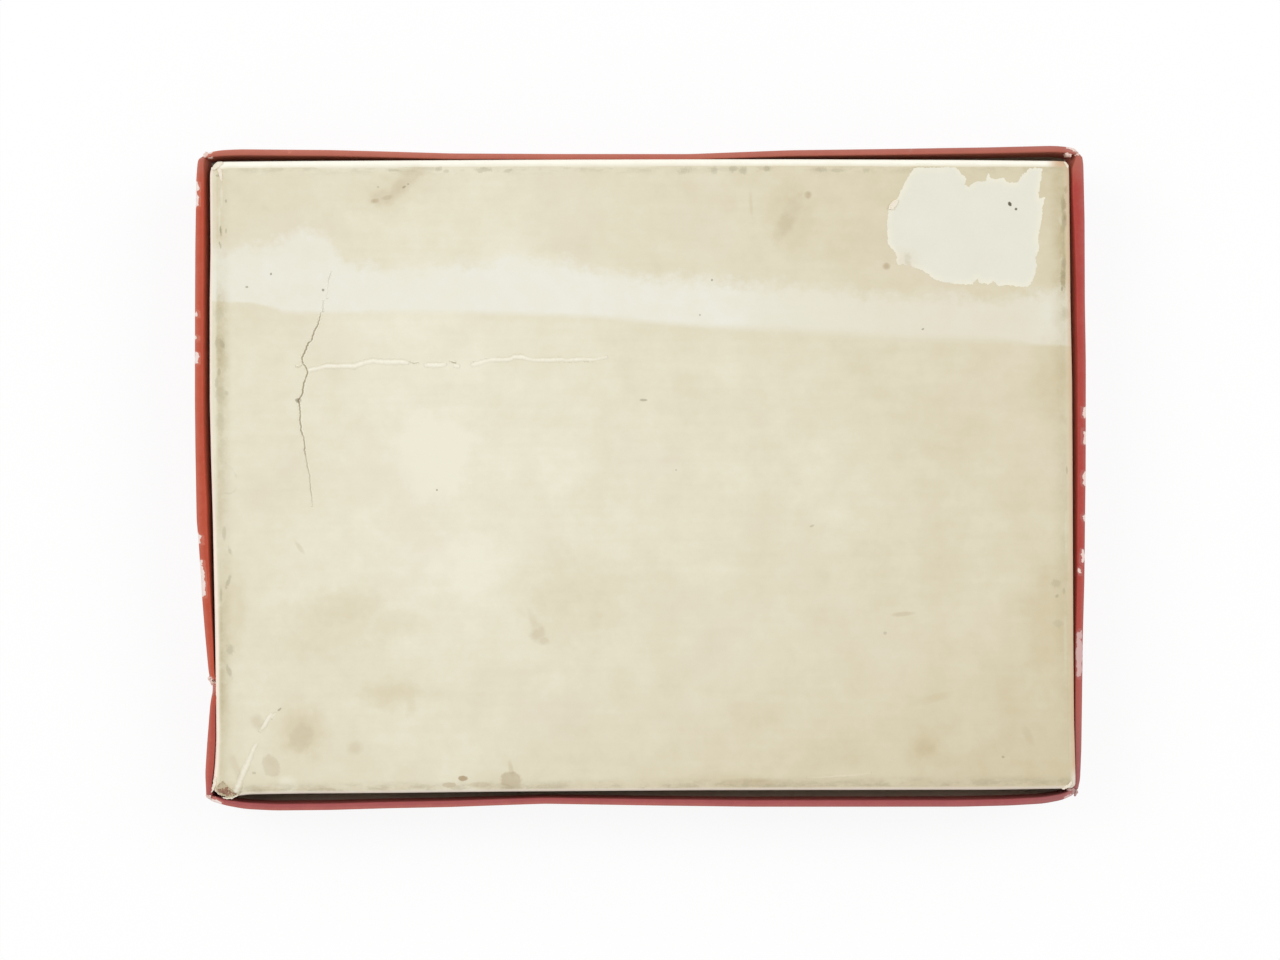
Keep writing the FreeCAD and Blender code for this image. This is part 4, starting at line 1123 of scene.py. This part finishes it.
def cream_colour(p):
    """Paints the aged paper of the tray's underside with its marks. Returns its relief and fine noise."""
    lumps = p.noise(26, 4, 0.6)
    cloud = p.noise(9, 5, 0.62, seed=3)
    fine = p.noise(1.6, 4, 0.65, seed=7)
    fibre = p.noise(0.45, 3, 0.6, seed=1)
    ragged = p.noise(5.5, 7, 0.7, seed=11)
    laid = p.noise(3, 2, 0.5, stretch=(0.05, 1, 1), seed=5)
    scratchy = p.noise(1.1, 6, 0.75, stretch=(1.3, 0.6, 1), seed=17)
    # Darker and yellower towards the right and along the top and bottom.
    rise = p.y * (1 / 130.0)
    tone_shift = 0.1 + abs(p.x + 85) * 0.0021 + rise * rise * 0.2
    tone_shift += p.step(p.y, -50, -120) * p.step(p.x, -130, -40) * 0.1
    tone_shift = tone_shift + p.swing(lumps, 0.5) + p.swing(cloud, 0.4) + p.swing(laid, 0.14) + p.swing(fine, 0.12)
    p.base(tone_shift - p.blobs(PALE_PATCHES, 1.2, ragged) * 0.35, (238, 234, 213), (210, 197, 164))
    p.coat(p.step(p.noise(34, 3, 0.5, seed=31), 0.5, 0.75) * 0.3, (224, 211, 191))
    # The ghost of a tape across the sheet: crisp below, torn and soft above.
    above = p.y - (p.curve(p.x, (places(TAPE_LOW) / MM).tolist()) + p.swing(ragged, 2.2))
    below = p.curve(p.x, (places(TAPE_HIGH) / MM).tolist()) + p.swing(ragged, 18) - p.y
    blur = p.curve(p.x, across_side(TAPE_BLUR, TAPE_ROW))
    tape = p.step(above, blur * -1, blur) * p.step(below, -3.5, 5) * (0.3 + cloud)
    p.coat(tape * p.curve(p.x, across_side(TAPE_SHOW, TAPE_ROW)), (237, 235, 222))
    p.coat(p.blobs(SMEARS, 1.1, ragged) * (0.45 + cloud), (205, 188, 148))
    p.coat(p.blobs(STAINS_AND_SHADOWS, 1.1, ragged) * (0.35 + cloud * 1.3), (166, 140, 98))
    p.coat(p.blobs(CRISP_STAINS, 0.35, fine, 0.8) * (0.6 + cloud * 0.8), (166, 142, 104))
    p.coat(p.blobs(SMUDGES, 0.9, scratchy, 3.2) * (0.2 + scratchy * 1.5), (136, 128, 98))
    p.coat(p.blobs(SPECKS, 0.5, fine), (104, 92, 66))
    # Dirt rubbed in along the sheet's edges, and a smooth darker band along the near edge.
    half_x, half_y = (float(half / MM) for half in TRAY_HALF)
    patches = p.step(p.noise(9, 6, 0.66, seed=21), 0.3, 0.7)
    lines = p.step(p.noise(6, 6, 0.66, stretch=(0.7, 1.8, 1), seed=22), 0.44, 0.62)
    left, right = p.x + half_x, half_x - p.x
    far, near = half_y - p.y, p.y + half_y
    left_dirt = p.step(left, 1, 2.8) * p.step(left, 9, 3)
    left_dirt *= p.curve(p.y, down_side(LEFT_GRIME, LEFT_COLUMN))
    right_dirt = p.step(right, 0.2, 2.2) * p.step(right, 9, 2.2)
    right_dirt *= p.curve(p.y, down_side(RIGHT_GRIME, RIGHT_COLUMN))
    p.coat(p.most(left_dirt, right_dirt) * (0.35 + patches * 0.8 + p.swing(fine, 0.6)), (192, 179, 142))
    p.coat(p.step(near, 7, 1.5) * (0.15 + patches * 0.45), (196, 182, 152))
    far_dirt = p.step(far, 2, 3.2) * p.step(far, 6.5, 3.4) * 0.28
    near_dirt = p.step(near, 0.8, 1.6) * p.step(near, 6, 2) * 0.45
    p.coat(p.most(far_dirt, near_dirt) * lines * (0.25 + fine * 0.8), (150, 140, 108))
    return fibre * 0.5 + fine * 0.6 + tape * -0.2, fine


def cream_paper():
    p = Paint("cream_paper")
    relief, fine = cream_colour(p)
    # Painted highlight on crease crests and crack lips, then the cracks' dark with painted shade and shadow
    # at the creases.
    p.coat(p.field("ridge") * 0.9, (250, 246, 230))
    p.coat(p.field("crack") * 0.8, (138, 122, 84))
    p.bump(relief, 0.1, 0.5)
    return p.finish(0.62 + fine * 0.2, 0.22)


def label_paper():
    """The torn, greyer paper under the lost label."""
    p = Paint("label_paper")
    cloud = p.noise(12, 5, 0.6, seed=3)
    fine = p.noise(1, 5, 0.7, seed=7)
    ragged = p.noise(5.5, 7, 0.7, seed=11)
    fringe = p.field("fringe") * p.step(p.noise(6, 5, 0.6, seed=9), 0.35, 0.6)
    p.base(cloud * 0.7 + p.swing(fine, 0.3), (235, 233, 219), (226, 223, 205))
    p.coat(p.blobs(SPECKS[:2], 0.5, fine), (92, 84, 64))
    p.coat(p.blobs(FEATHERED, 1.2, ragged), (227, 217, 196))
    p.coat(p.blobs(FEATHER_DIRT, 0.9, fine), (198, 194, 168))
    p.coat(fringe * 0.75, (243, 238, 218))
    p.bump(fine + cloud, 0.1, 0.6)
    return p.finish(0.7 + fine * 0.15, 0.18)


def torn_paper(name, light, dark, deep):
    """Frayed paper fibre."""
    p = Paint(name)
    fine = p.noise(0.7, 5, 0.7, seed=2)
    cloud = p.noise(2.6, 4, 0.6, seed=6)
    p.base(cloud * 0.7 + p.swing(fine, 0.6), light, dark)
    p.coat(p.step(fine, 0.6, 0.75), deep)
    p.bump(fine + cloud, 0.2, 0.7)
    return p.finish(0.75 + fine * 0.15, 0.15)


def strip_paper():
    """The tray's side paper: aged like the sheet underneath the box; its folds are rubbed paler and carry a
    painted highlight.
    """
    p = Paint("tray_strip_paper")
    relief, fine = cream_colour(p)
    cloud = p.noise(8, 5, 0.62, seed=2)
    grime = p.noise(5, 6, 0.7, seed=9)
    wall = p.mix(cloud, (240, 232, 210), (224, 213, 184))
    wall = p.mix(p.step(grime, 0.5, 0.75) * 0.4, wall, (196, 182, 148))
    p.coat(p.step(p.z, 38.6, 37.2), wall)
    # The folds' colours by side: painted highlight over rubbed paper, brightest far and left; tan on the
    # right.
    pale = p.mix(p.step(p.x, 168, 174), (255, 252, 238), (216, 184, 152))
    pale = p.mix(p.step(p.y, -121, -127), pale, (236, 226, 214))
    pale = p.mix(p.step(p.x, -174, -176), pale, (254, 238, 222))
    p.coat(p.field("fold") * (0.7 + cloud * 0.7), pale)
    p.bump(relief, 0.1, 0.5)
    return p.finish(0.6 + fine * 0.2, 0.22)


def red_paper():
    """The lid's red paper, rubbed through to pale fibre where its wear field is high."""
    p = Paint("red_paper")
    cloud = p.noise(14, 5, 0.6, seed=1)
    fine = p.noise(1.1, 4, 0.6, seed=6)
    chips = p.noise(3, 5, 0.66, seed=8)
    wear = p.field("wear")
    right = p.step(p.x, 150, 178)
    # The red of the left, and duller reds on the way round to the near right corner.
    p.base(cloud, (193, 84, 57), (177, 68, 45))
    p.coat(p.step(p.x, -150, -172) * p.step(p.y, -72, -105) * 0.7, (172, 78, 68))
    # Painted shade: the red deepens towards the right.
    p.coat(p.step(p.x, -60, 180), p.mix(cloud, (182, 69, 58), (166, 55, 48)))
    p.coat(p.step(p.y, -118, -134) * 0.8, p.mix(cloud, (168, 92, 95), (150, 76, 81)))
    p.coat(p.step(p.y, 118, 134) * 0.8, p.mix(cloud, (188, 116, 98), (174, 100, 84)))
    p.coat(right * p.step(p.y, -40, -110) * 0.55, (172, 104, 96))
    p.coat(right * p.step(p.y, -96, -124) * 0.6, (146, 88, 92))
    p.coat(p.step(fine, 0.5, 0.8) * 0.25, (202, 104, 82))
    # Rubbed thin, and then through to the fibre.
    rubbed = p.step(wear, 0.14, 0.4) * 0.5 + p.swing(chips, 0.4)
    p.coat(rubbed, p.mix(p.step(p.x, -60, 170), (212, 132, 112), (180, 118, 112)))
    bare = p.step(wear + p.swing(chips, 1.3) + p.swing(fine, 0.7), 0.78, 0.9)
    fibre = p.mix(fine, (250, 238, 232), (228, 202, 194))
    fibre = p.mix(right * 0.7, fibre, (236, 208, 196))
    fibre = p.mix(right * p.step(p.y, -45, -60) * 0.9, fibre, (208, 168, 166))
    p.coat(bare, fibre)
    # Painted light: the turned-in paper inside the lid is lightened in patches, most on the left and right
    # walls.
    p.coat(p.field("inside") * (0.35 + chips * 0.5), (212, 136, 116))
    p.bump(fine * 0.4 + bare * -0.9 + cloud * 0.3, 0.1, 0.6)
    return p.finish(0.42 + bare * 0.3 + fine * 0.15, 0.3)


def lined_board(name):
    """Chipboard with an aged white lining, as the inside of a box shows it."""
    p = Paint(name)
    fleck = p.noise(0.8, 5, 0.7, seed=2)
    spots = p.noise(4, 4, 0.6, seed=12)
    p.base(p.noise(18, 5, 0.6, seed=5), (240, 229, 218), (222, 207, 192))
    p.coat(p.step(spots, 0.62, 0.72) * 0.35, (190, 164, 132))
    p.coat(p.step(fleck, 0.64, 0.75) * 0.35, (170, 156, 130))
    p.bump(fleck + spots, 0.08, 0.5)
    return p.finish(0.75 + fleck * 0.15, 0.15)


def chipboard(name, light, dark):
    p = Paint(name)
    fleck = p.noise(0.8, 5, 0.7, seed=2)
    cloud = p.noise(4, 4, 0.6, seed=5)
    fibre = p.noise(2.2, 4, 0.7, stretch=(0.25, 1, 1), seed=3)
    p.base(cloud * 0.5 + fibre * 0.5, light, dark)
    p.coat(p.step(fleck, 0.62, 0.75), (108, 86, 62))
    p.coat(p.step(fleck, 0.38, 0.28), (206, 190, 160))
    p.bump(fleck + fibre, 0.2, 0.8)
    return p.finish(0.78 + fleck * 0.15, 0.15)


def tape_paper():
    p = Paint("stay_tape")
    fibre = p.noise(1.4, 4, 0.7, stretch=(1, 1, 0.3), seed=3)
    p.base(fibre, (190, 158, 112), (160, 128, 84))
    p.bump(fibre, 0.06, 0.5)
    return p.finish(0.6 + fibre * 0.2, 0.2)


# Fields: how worn the paper is at each vertex, from the straight points of its strip. The tray's points
# are those of the upright tray, before it is turned over, so its near side is at positive y.

# Wear of the lid's paper at the rim, at the fold and at the upright corners: amounts and reaches.
RIM_RUB, RIM_RUB_REACH = 0.36, 2.2 * MM
FOLD_RUB, FOLD_RUB_REACH = 0.5, 2.0 * MM
CORNER_RUB, CORNER_RUB_REACH = 0.55, 3.0 * MM
# How far in from the lid's outside the wear goes, and the share of it that the rest of the rim has.
OUTSIDE_REACH = 1.6 * MM
RIM_REST = 0.4
# A chip is soft at its ends, narrows towards them down to a least share, wanders, and fades below the rim.
CHIP_SOFT = 0.8 * MM
CHIP_NARROWS = 0.7
CHIP_LEAST = 0.25
CHIP_WANDER, CHIP_WANDER_SIZE = 0.35, 0.9 * MM
CHIP_DROP = 2.4 * MM
CHIP_EDGE = 1.4
# How pale and how wide the tray's fold is on its near, right, far and left sides: rubbed paper with a painted
# highlight.
FOLD_RUB_AND_HIGHLIGHT = (0.75, 0.7, 1.0, 0.95)
FOLD_PALE_WIDTHS = (1.1 * MM, 1.7 * MM, 2.7 * MM, 0.95 * MM)
FOLD_PALE_REACH = 2.2 * MM
# The left fold's pale band widens towards the near corner: how much, from where, and over what length.
WIDER, WIDER_FROM, WIDER_OVER = 0.8 * MM, 10 * MM, 40 * MM
# How much painted light lightens the inside of the lid's near, right, far and left walls, where the inside
# begins, and how far below the rim the lightening begins and is full.
INSIDE_LIGHT_WALLS = (0.2, 1.0, 0.7, 1.0)
INSIDE_LIGHT_INSET, INSIDE_LIGHT_SOFT = 1.6 * MM, 0.6 * MM
INSIDE_LIGHT_FROM, INSIDE_LIGHT_OVER = 0.5 * MM, 5 * MM
FRINGE_REACH = 2.6 * MM


def wear_field(straight):
    """Wear of the lid's strip: most at the rim's outer edge, at the folds and at the upright corners."""
    x, y, z = straight.T
    from_x, from_y = LID_HALF[0] - np.abs(x), LID_HALF[1] - np.abs(y)
    outside = unit(1 - np.minimum(from_x, from_y) / OUTSIDE_REACH)
    rim = RIM_RUB * bell(z - LID_RIM, RIM_RUB_REACH) * (RIM_REST + (1 - RIM_REST) * outside)
    fold = FOLD_RUB * bell(z, FOLD_RUB_REACH) * outside
    upright = CORNER_RUB * bell(np.maximum(from_x, from_y), CORNER_RUB_REACH) * outside
    return np.maximum.reduce([rim, fold, upright])


def chip_field(straight):
    """How far the lid's paper is chipped off."""
    x, y, z = straight.T
    a, b = LID_HALF
    insets = {"left": x + a, "right": a - x, "top": b - y, "bottom": y + b}
    total = np.zeros(len(straight))
    for side, first, last, strength, middle, reach in CHIPS:
        low, high = chip_ends(side, first, last)
        place = y if side in ("left", "right") else x
        taper = np.clip(1 - CHIP_NARROWS * ((2 * place - low - high) / (high - low)) ** 2, CHIP_LEAST, 1)
        wander = CHIP_WANDER * ripple(x, y, CHIP_WANDER_SIZE, first)
        within = unit((np.minimum(place - low, high - place) + CHIP_SOFT) / (2 * CHIP_SOFT))
        near = bell(insets[side] / MM - middle - wander, reach * taper) * bell(z - LID_RIM, CHIP_DROP)
        total = np.maximum(total, strength * within * unit(near * CHIP_EDGE))
    return total


def fold_pale_field(straight):
    """How pale the tray's strip is at the fold round the underside: rubbed, with a painted highlight."""
    x, y, z = straight.T
    a, b = TRAY_HALF
    insets = np.stack([b - y, a - x, y + b, x + a])
    inset, side = insets.min(axis=0), insets.argmin(axis=0)
    amount, width = np.array(FOLD_RUB_AND_HIGHLIGHT)[side], np.array(FOLD_PALE_WIDTHS)[side]
    width += (side == SIDES.index("left")) * WIDER * unit((y - WIDER_FROM) / WIDER_OVER)
    return amount * np.exp(-((inset / width) ** 4)) * bell(z, FOLD_PALE_REACH)


def inside_light_field(straight):
    """How far the lid's turned-in paper is lightened with painted light."""
    x, y, z = straight.T
    a, b = LID_HALF
    insets = np.stack([y + b, a - x, b - y, x + a])
    inset, amount = insets.min(axis=0), np.array(INSIDE_LIGHT_WALLS)[insets.argmin(axis=0)]
    below = unit((LID_RIM - z - INSIDE_LIGHT_FROM) / INSIDE_LIGHT_OVER)
    return amount * unit((inset - INSIDE_LIGHT_INSET) / INSIDE_LIGHT_SOFT) * below


def fringe_field(item, outline):
    """1 at a scrap's outline of pixel places, falling to 0 a few millimetres inside it."""
    points = np.array([vertex.co[:2] for vertex in item.data.vertices])
    corners = places(outline)
    nearest = np.full(len(points), np.inf)
    for start, end in zip(corners, np.roll(corners, -1, axis=0)):
        leg = end - start
        share = unit((points - start) @ leg / (leg @ leg))
        nearest = np.minimum(nearest, np.linalg.norm(points - start - share[:, None] * leg, axis=1))
    return unit(1 - nearest / FRINGE_REACH)


def dress(item, material, body, slot, *nodes):
    item.data.materials.clear()
    item.data.materials.append(material)
    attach(item, body)
    if nodes:
        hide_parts(*nodes)


add_field(lid_wrap, "wear", np.maximum(wear_field(lid_straight), chip_field(lid_straight)))
add_field(lid_wrap, "inside", inside_light_field(lid_straight))
add_field(tray_wrap, "fold", fold_pale_field(tray_straight))
add_field(label_scar, "fringe", fringe_field(label_scar, LABEL_SCAR))

CREAM, STRIP, RED = cream_paper(), strip_paper(), red_paper()
LINED, TAPE = lined_board("lined_board"), tape_paper()
BARE = chipboard("bare_board", (208, 198, 168), (184, 166, 134))
PLIES = chipboard("bare_plies", (190, 152, 128), (116, 78, 62))
PINK_FRAY = torn_paper("torn_red_paper", (244, 226, 216), (222, 178, 164), (176, 120, 104))
DULL_FRAY = torn_paper("torn_dull_paper", (204, 172, 166), (172, 126, 122), (118, 82, 80))
CREAM_FRAY = torn_paper("torn_cream_paper", (246, 239, 222), (232, 216, 192), (200, 180, 148))

dress(lid_wrap, RED, "lid", "red_paper", "lid_side_strip")
dress(lid_shell, LINED, "lid", "chipboard", "lid_board")
dress(lid_tapes, TAPE, "lid", "stay_tape", "lid_corner_stays")
dress(lid_frays, PINK_FRAY, "lid", "red_paper")
dress(dull_frays, DULL_FRAY, "lid", "red_paper")
dress(tray_wrap, STRIP, "tray", "tray_strip_paper", "tray_side_strip")
dress(tray_shell, LINED, "tray", "chipboard", "tray_board")
dress(tray_tapes, TAPE, "tray", "stay_tape", "tray_corner_stays")
dress(tray_sheet, CREAM, "tray", "cream_paper", "tray_base_sheet")
dress(sheet_cracks_and_shade, CREAM, "tray", "cream_paper")
dress(sheet_creases, CREAM, "tray", "cream_paper")
dress(corner_crease, CREAM, "tray", "cream_paper")
dress(label_scar, label_paper(), "tray", "cream_paper")
dress(paper_curls, CREAM_FRAY, "tray", "cream_paper")
dress(bare_corner, BARE, "tray", "chipboard")
dress(bare_plies, PLIES, "tray", "chipboard")


# The game inside keeps its solids, with softened edges and finishes of its own.

# The printed grids, in millimetres: pitch and count of the cells, half a grid, and from the sheet's middle
# to a grid's. Then half the frame line's rectangle, and the labels' size, thickness and place.
GRID_PITCH = 11.5
GRID_CELLS = 10
GRID_REACH = GRID_CELLS * GRID_PITCH / 2
GRID_MIDDLE = 61.0
FRAME_HALF = (81.5, 121.5)
LETTERS = "ABCDEFGHIJ"
LABEL_SIZE, LABEL_THICK = 4.6, 0.04
LABEL_AWAY = GRID_REACH + 3.4
TEAMS = {"red": ((188, 62, 48), (128, 36, 30)), "blue": ((62, 92, 138), (34, 54, 92))}
SHIPS = ("carrier", "battleship", "cruiser", "submarine", "destroyer")
# On the lid's sheet, the cream line's distance from the edge in millimetres.
LID_LINE = 13.0
WELD_GAP = 0.01 * MM
BEVEL_ANGLE = math.radians(40)


def upright_faces(p):
    normal = p.add("ShaderNodeNewGeometry").outputs["True Normal"]
    return p.step(abs(p.split(normal)[2]), 0.7, 0.3)


def faced_card(name, light, dark):
    """Card with a paper face, scuffed, and grey board at its cut edges."""
    p = Paint(name)
    fine = p.noise(1.2, 4, 0.65, seed=8)
    scuff = p.noise(9, 7, 0.72, seed=15)
    p.base(p.noise(22, 5, 0.6, seed=4), light, dark)
    p.coat(p.step(scuff, 0.58, 0.74) * 0.4, (232, 224, 206))
    p.coat(upright_faces(p), p.mix(fine, (168, 146, 114), (118, 98, 72)))
    p.bump(fine + scuff * 0.5, 0.06, 0.5)
    return p.finish(0.55 + fine * 0.2, 0.22)


def grid_print(name, middle, ink):
    """A printed sheet with two square grids, one each side of the middle, in a frame line."""
    p = Paint(name)
    cloud = p.noise(30, 5, 0.6, seed=6)
    fine = p.noise(0.9, 4, 0.65, seed=3)
    worn = 0.55 + p.noise(7, 6, 0.7, seed=13) * 0.6
    across, up = p.x - middle, abs(p.y) - GRID_MIDDLE
    outward = p.most(abs(across), abs(up))
    square = p.step(outward, GRID_REACH + 0.1, GRID_REACH - 0.1)
    to_line = p.least(*[p.math("PINGPONG", place, GRID_PITCH / 2) for place in (across, up)])
    border = p.step(abs(outward - (GRID_REACH + 0.3)), 0.7, 0.5)
    to_frame = p.most(abs(across) - FRAME_HALF[0], abs(p.y) - FRAME_HALF[1])
    frame_line = p.step(abs(to_frame), 0.6, 0.45)
    p.base(cloud, (238, 231, 210), (220, 209, 182))
    p.coat(square * 0.8, p.mix(cloud, (206, 221, 224), (190, 208, 212)))
    p.coat(p.step(to_line, 0.3, 0.18) * square * worn, ink)
    p.coat(p.most(border, frame_line) * worn, ink)
    p.bump(fine, 0.04, 0.4)
    return p.finish(0.5 + fine * 0.2)


def painted_wood(name, light, dark):
    """Paint over wood, thin at the grain and rubbed off here and there."""
    p = Paint(name)
    grain = p.noise(1.6, 5, 0.62, stretch=(0.1, 1, 1), seed=4)
    fine = p.noise(0.5, 4, 0.65, seed=2)
    rub = p.noise(5, 7, 0.72, seed=17)
    bare = p.step(rub, 0.6, 0.68)
    p.base(grain * 0.8 + p.swing(fine, 0.3), light, dark)
    p.coat(bare * 0.85, p.mix(grain, (222, 188, 138), (182, 140, 92)))
    p.bump(grain + bare * -0.6, 0.08, 0.5)
    return p.finish(0.38 + rub * 0.25, 0.35)


def plain_wood():
    p = Paint("plain_wood")
    grain = p.noise(1.8, 6, 0.65, stretch=(0.08, 1, 1), seed=9)
    rings = p.noise(6, 3, 0.5, stretch=(0.05, 1, 1), seed=5)
    p.base(grain * 0.6 + rings * 0.5, (226, 194, 146), (176, 134, 86))
    p.coat(p.step(grain, 0.62, 0.72) * 0.5, (140, 100, 62))
    p.bump(grain, 0.1, 0.5)
    return p.finish(0.5 + grain * 0.2)


def lid_sheet():
    """The lid's panel sheet: plain red with a cream line round it, rubbed where it has lain on tables."""
    p = Paint("lid_sheet_paper")
    fine = p.noise(1.2, 4, 0.65, seed=5)
    rub = p.noise(14, 8, 0.74, seed=23)
    streaks = p.noise(3, 6, 0.7, stretch=(0.06, 1, 1), seed=27)
    half_x, half_y = (float(half / MM) for half in LID_HALF)
    to_edge = p.least(half_x - abs(p.x), half_y - abs(p.y))
    worn = p.step(rub, 0.56, 0.74) + p.step(streaks, 0.6, 0.72) * 0.5 + p.step(to_edge, 5, 1.5)
    bare = p.step(p.swing(rub, 1.4) + p.step(to_edge, 6, 2), 0.92, 1)
    p.base(p.noise(30, 5, 0.6, seed=2), (190, 72, 52), (170, 56, 44))
    p.coat(p.step(abs(to_edge - LID_LINE), 0.75, 0.6) * 0.9, (232, 214, 178))
    p.coat(worn * 0.45, (214, 152, 128))
    p.coat(bare, (236, 220, 200))
    p.bump(fine + rub * 0.6, 0.08, 0.5)
    return p.finish(0.42 + rub * 0.25, 0.3)


def finish_nodes(material, soft, *names):
    """Gives solids of the frame a material, and rounds their edges where soft is above zero."""
    for name in names:
        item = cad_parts[name]
        for slot in item.material_slots:
            slot.material = material
        if soft:
            item.modifiers.new("weld", "WELD").merge_threshold = WELD_GAP
            bevel = item.modifiers.new("bevel", "BEVEL")
            bevel.width = soft
            bevel.segments = 2
            bevel.limit_method = "ANGLE"
            bevel.angle_limit = BEVEL_ANGLE
            item.modifiers.new("normals", "WEIGHTED_NORMAL")


def word_mesh(word):
    """Points and faces of a letter or number about the origin, in millimetres."""
    curve = bpy.data.curves.new("label", "FONT")
    curve.body = word
    curve.size = LABEL_SIZE
    curve.extrude = LABEL_THICK / 2
    curve.align_x = "CENTER"
    curve.align_y = "CENTER"
    holder = bpy.data.objects.new("label", curve)
    mesh = bpy.data.meshes.new_from_object(holder)
    points = np.array([vertex.co for vertex in mesh.vertices])
    faces = [list(face.vertices) for face in mesh.polygons]
    bpy.data.objects.remove(holder)
    bpy.data.meshes.remove(mesh)
    bpy.data.curves.remove(curve)
    return points, faces


def make_labels(team, middle):
    """Letters down the side of each grid and numbers along its top."""
    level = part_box(f"grid_sheet_{team}")[1][2] / MM + LABEL_THICK / 2
    numbers = [str(cell + 1) for cell in range(GRID_CELLS)]
    words = {word: word_mesh(word) for word in [*LETTERS, *numbers]}
    parts = []
    for centre in (-GRID_MIDDLE, GRID_MIDDLE):
        for cell, (letter, number) in enumerate(zip(LETTERS, numbers)):
            place = (cell + 0.5) * GRID_PITCH - GRID_REACH
            for word, x, y in ((letter, middle - LABEL_AWAY, centre - place),
                               (number, middle + place, centre + LABEL_AWAY)):
                points, faces = words[word]
                parts.append(((points + np.array([x, y, level])) * MM, faces))
    return new_object(f"grid_labels_{team}", *gather(parts), smooth=30)


finish_nodes(lid_sheet(), 0, "lid_top_sheet")
finish_nodes(torn_paper("rule_paper", (238, 233, 217), (226, 218, 196), (214, 204, 180)), 0, "rule_sheet")
finish_nodes(faced_card("screen_card", (86, 104, 120), (62, 78, 96)), 0.2 * MM, "screen_panel")
finish_nodes(faced_card("board_card", (226, 217, 194), (208, 196, 168)), 0.25 * MM,
             "playing_board_red", "playing_board_blue")
finish_nodes(lined_board("divider_card"), 0.15 * MM, "divider_long_near", "divider_long_far", "divider_cross")
finish_nodes(plain_wood(), 0.6 * MM, "screen_foot_left", "screen_foot_right")
finish_nodes(painted_wood("marker_red_wood", (196, 58, 46), (160, 40, 34)), 0.5 * MM, "hit_markers")
finish_nodes(painted_wood("marker_white_wood", (240, 236, 224), (222, 214, 196)), 0.5 * MM, "miss_markers")
for team, (light, dark) in TEAMS.items():
    low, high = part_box(f"grid_sheet_{team}")
    board_middle = (low[0] + high[0]) / 2 / MM
    ships = [f"{team}_{ship}" for ship in SHIPS]
    finish_nodes(grid_print(f"grid_print_{team}", board_middle, dark), 0, f"grid_sheet_{team}")
    finish_nodes(painted_wood(f"ship_{team}_wood", light, dark), 0.4 * MM, *ships)
    ink = Paint(f"grid_ink_{team}")
    ink.base(ink.noise(3, 5, 0.65), dark, light)
    faded = ink.finish(0.5 + ink.noise(1) * 0.2)
    dress(make_labels(team, board_middle), faded, "lid", "grid_print")


# Floor, light and camera.

FLOOR_HALF = 3.0
FLOOR_DROP = 0.2 * MM
FLOOR_GLOW = 0.88
LIGHT_SIZE = 2.2
WORLD_STRENGTH = 0.6
CLIP_START = 0.01


def seen_directly(p):
    """1 for what the camera sees, straight, in a reflection or through something clear."""
    path = p.add("ShaderNodeLightPath")
    return p.most(*[path.outputs[f"Is {kind} Ray"] for kind in ("Camera", "Glossy", "Transmission")])


def make_floor():
    corners = np.array([[-1, -1], [1, -1], [1, 1], [-1, 1]]) * FLOOR_HALF
    floor = new_object("floor", np.column_stack([corners, np.full(4, -FLOOR_DROP)]), [(0, 1, 2, 3)])
    p = Paint("floor_white")
    p.base(p.noise(40, 2, 0.5), (252, 252, 252), (255, 255, 255))
    floor.data.materials.append(p.finish(0.8, 0.1))
    glow = p.add("ShaderNodeEmission")
    inputs = {0: seen_directly(p) * FLOOR_GLOW, 1: p.shader.outputs[0], 2: glow.outputs[0]}
    blend = p.add("ShaderNodeMixShader", inputs)
    p.link(blend.outputs[0], p.tree.nodes["Material Output"].inputs[0])


def make_light(name, place, power):
    """A soft square lamp that looks at the origin."""
    data = bpy.data.lights.new(name, "AREA")
    data.shape = "RECTANGLE"
    data.size = LIGHT_SIZE
    data.size_y = LIGHT_SIZE
    data.energy = power
    lamp = bpy.data.objects.new(name, data)
    lamp.location = place
    x, y, z = place
    lamp.rotation_euler = (math.atan2(math.hypot(x, y), z), 0, math.atan2(x, -y))
    bpy.context.scene.collection.objects.link(lamp)


def make_world():
    """Even light all round, and white where the camera looks past the floor."""
    world = bpy.data.worlds.new("studio")
    world.use_nodes = True
    tree = world.node_tree
    light = tree.nodes["Background"]
    light.inputs["Color"].default_value = (1, 1, 1, 1)
    light.inputs["Strength"].default_value = WORLD_STRENGTH
    white = tree.nodes.new("ShaderNodeBackground")
    white.inputs["Color"].default_value = (1, 1, 1, 1)
    path = tree.nodes.new("ShaderNodeLightPath")
    blend = tree.nodes.new("ShaderNodeMixShader")
    tree.links.new(path.outputs["Is Camera Ray"], blend.inputs[0])
    tree.links.new(light.outputs[0], blend.inputs[1])
    tree.links.new(white.outputs[0], blend.inputs[2])
    tree.links.new(blend.outputs[0], tree.nodes["World Output"].inputs[0])
    bpy.context.scene.world = world


def make_camera():
    data = bpy.data.cameras.new("camera")
    data.sensor_fit = "HORIZONTAL"
    data.sensor_width = SENSOR_MM
    data.lens = FOCAL_PX * SENSOR_MM / FRAME_SIZE[0]
    data.clip_start = CLIP_START
    camera = bpy.data.objects.new("camera", data)
    camera.location = CAMERA_PLACE
    camera.rotation_euler = CAMERA_TURN
    bpy.context.scene.collection.objects.link(camera)
    bpy.context.scene.camera = camera


make_floor()
make_light("soft_left", (-2.4, 0.9, 2.8), 44.0)
make_light("soft_right", (2.4, 0.9, 2.8), 40.0)
make_world()
make_camera()
bpy.context.scene.view_settings.view_transform = "Standard"
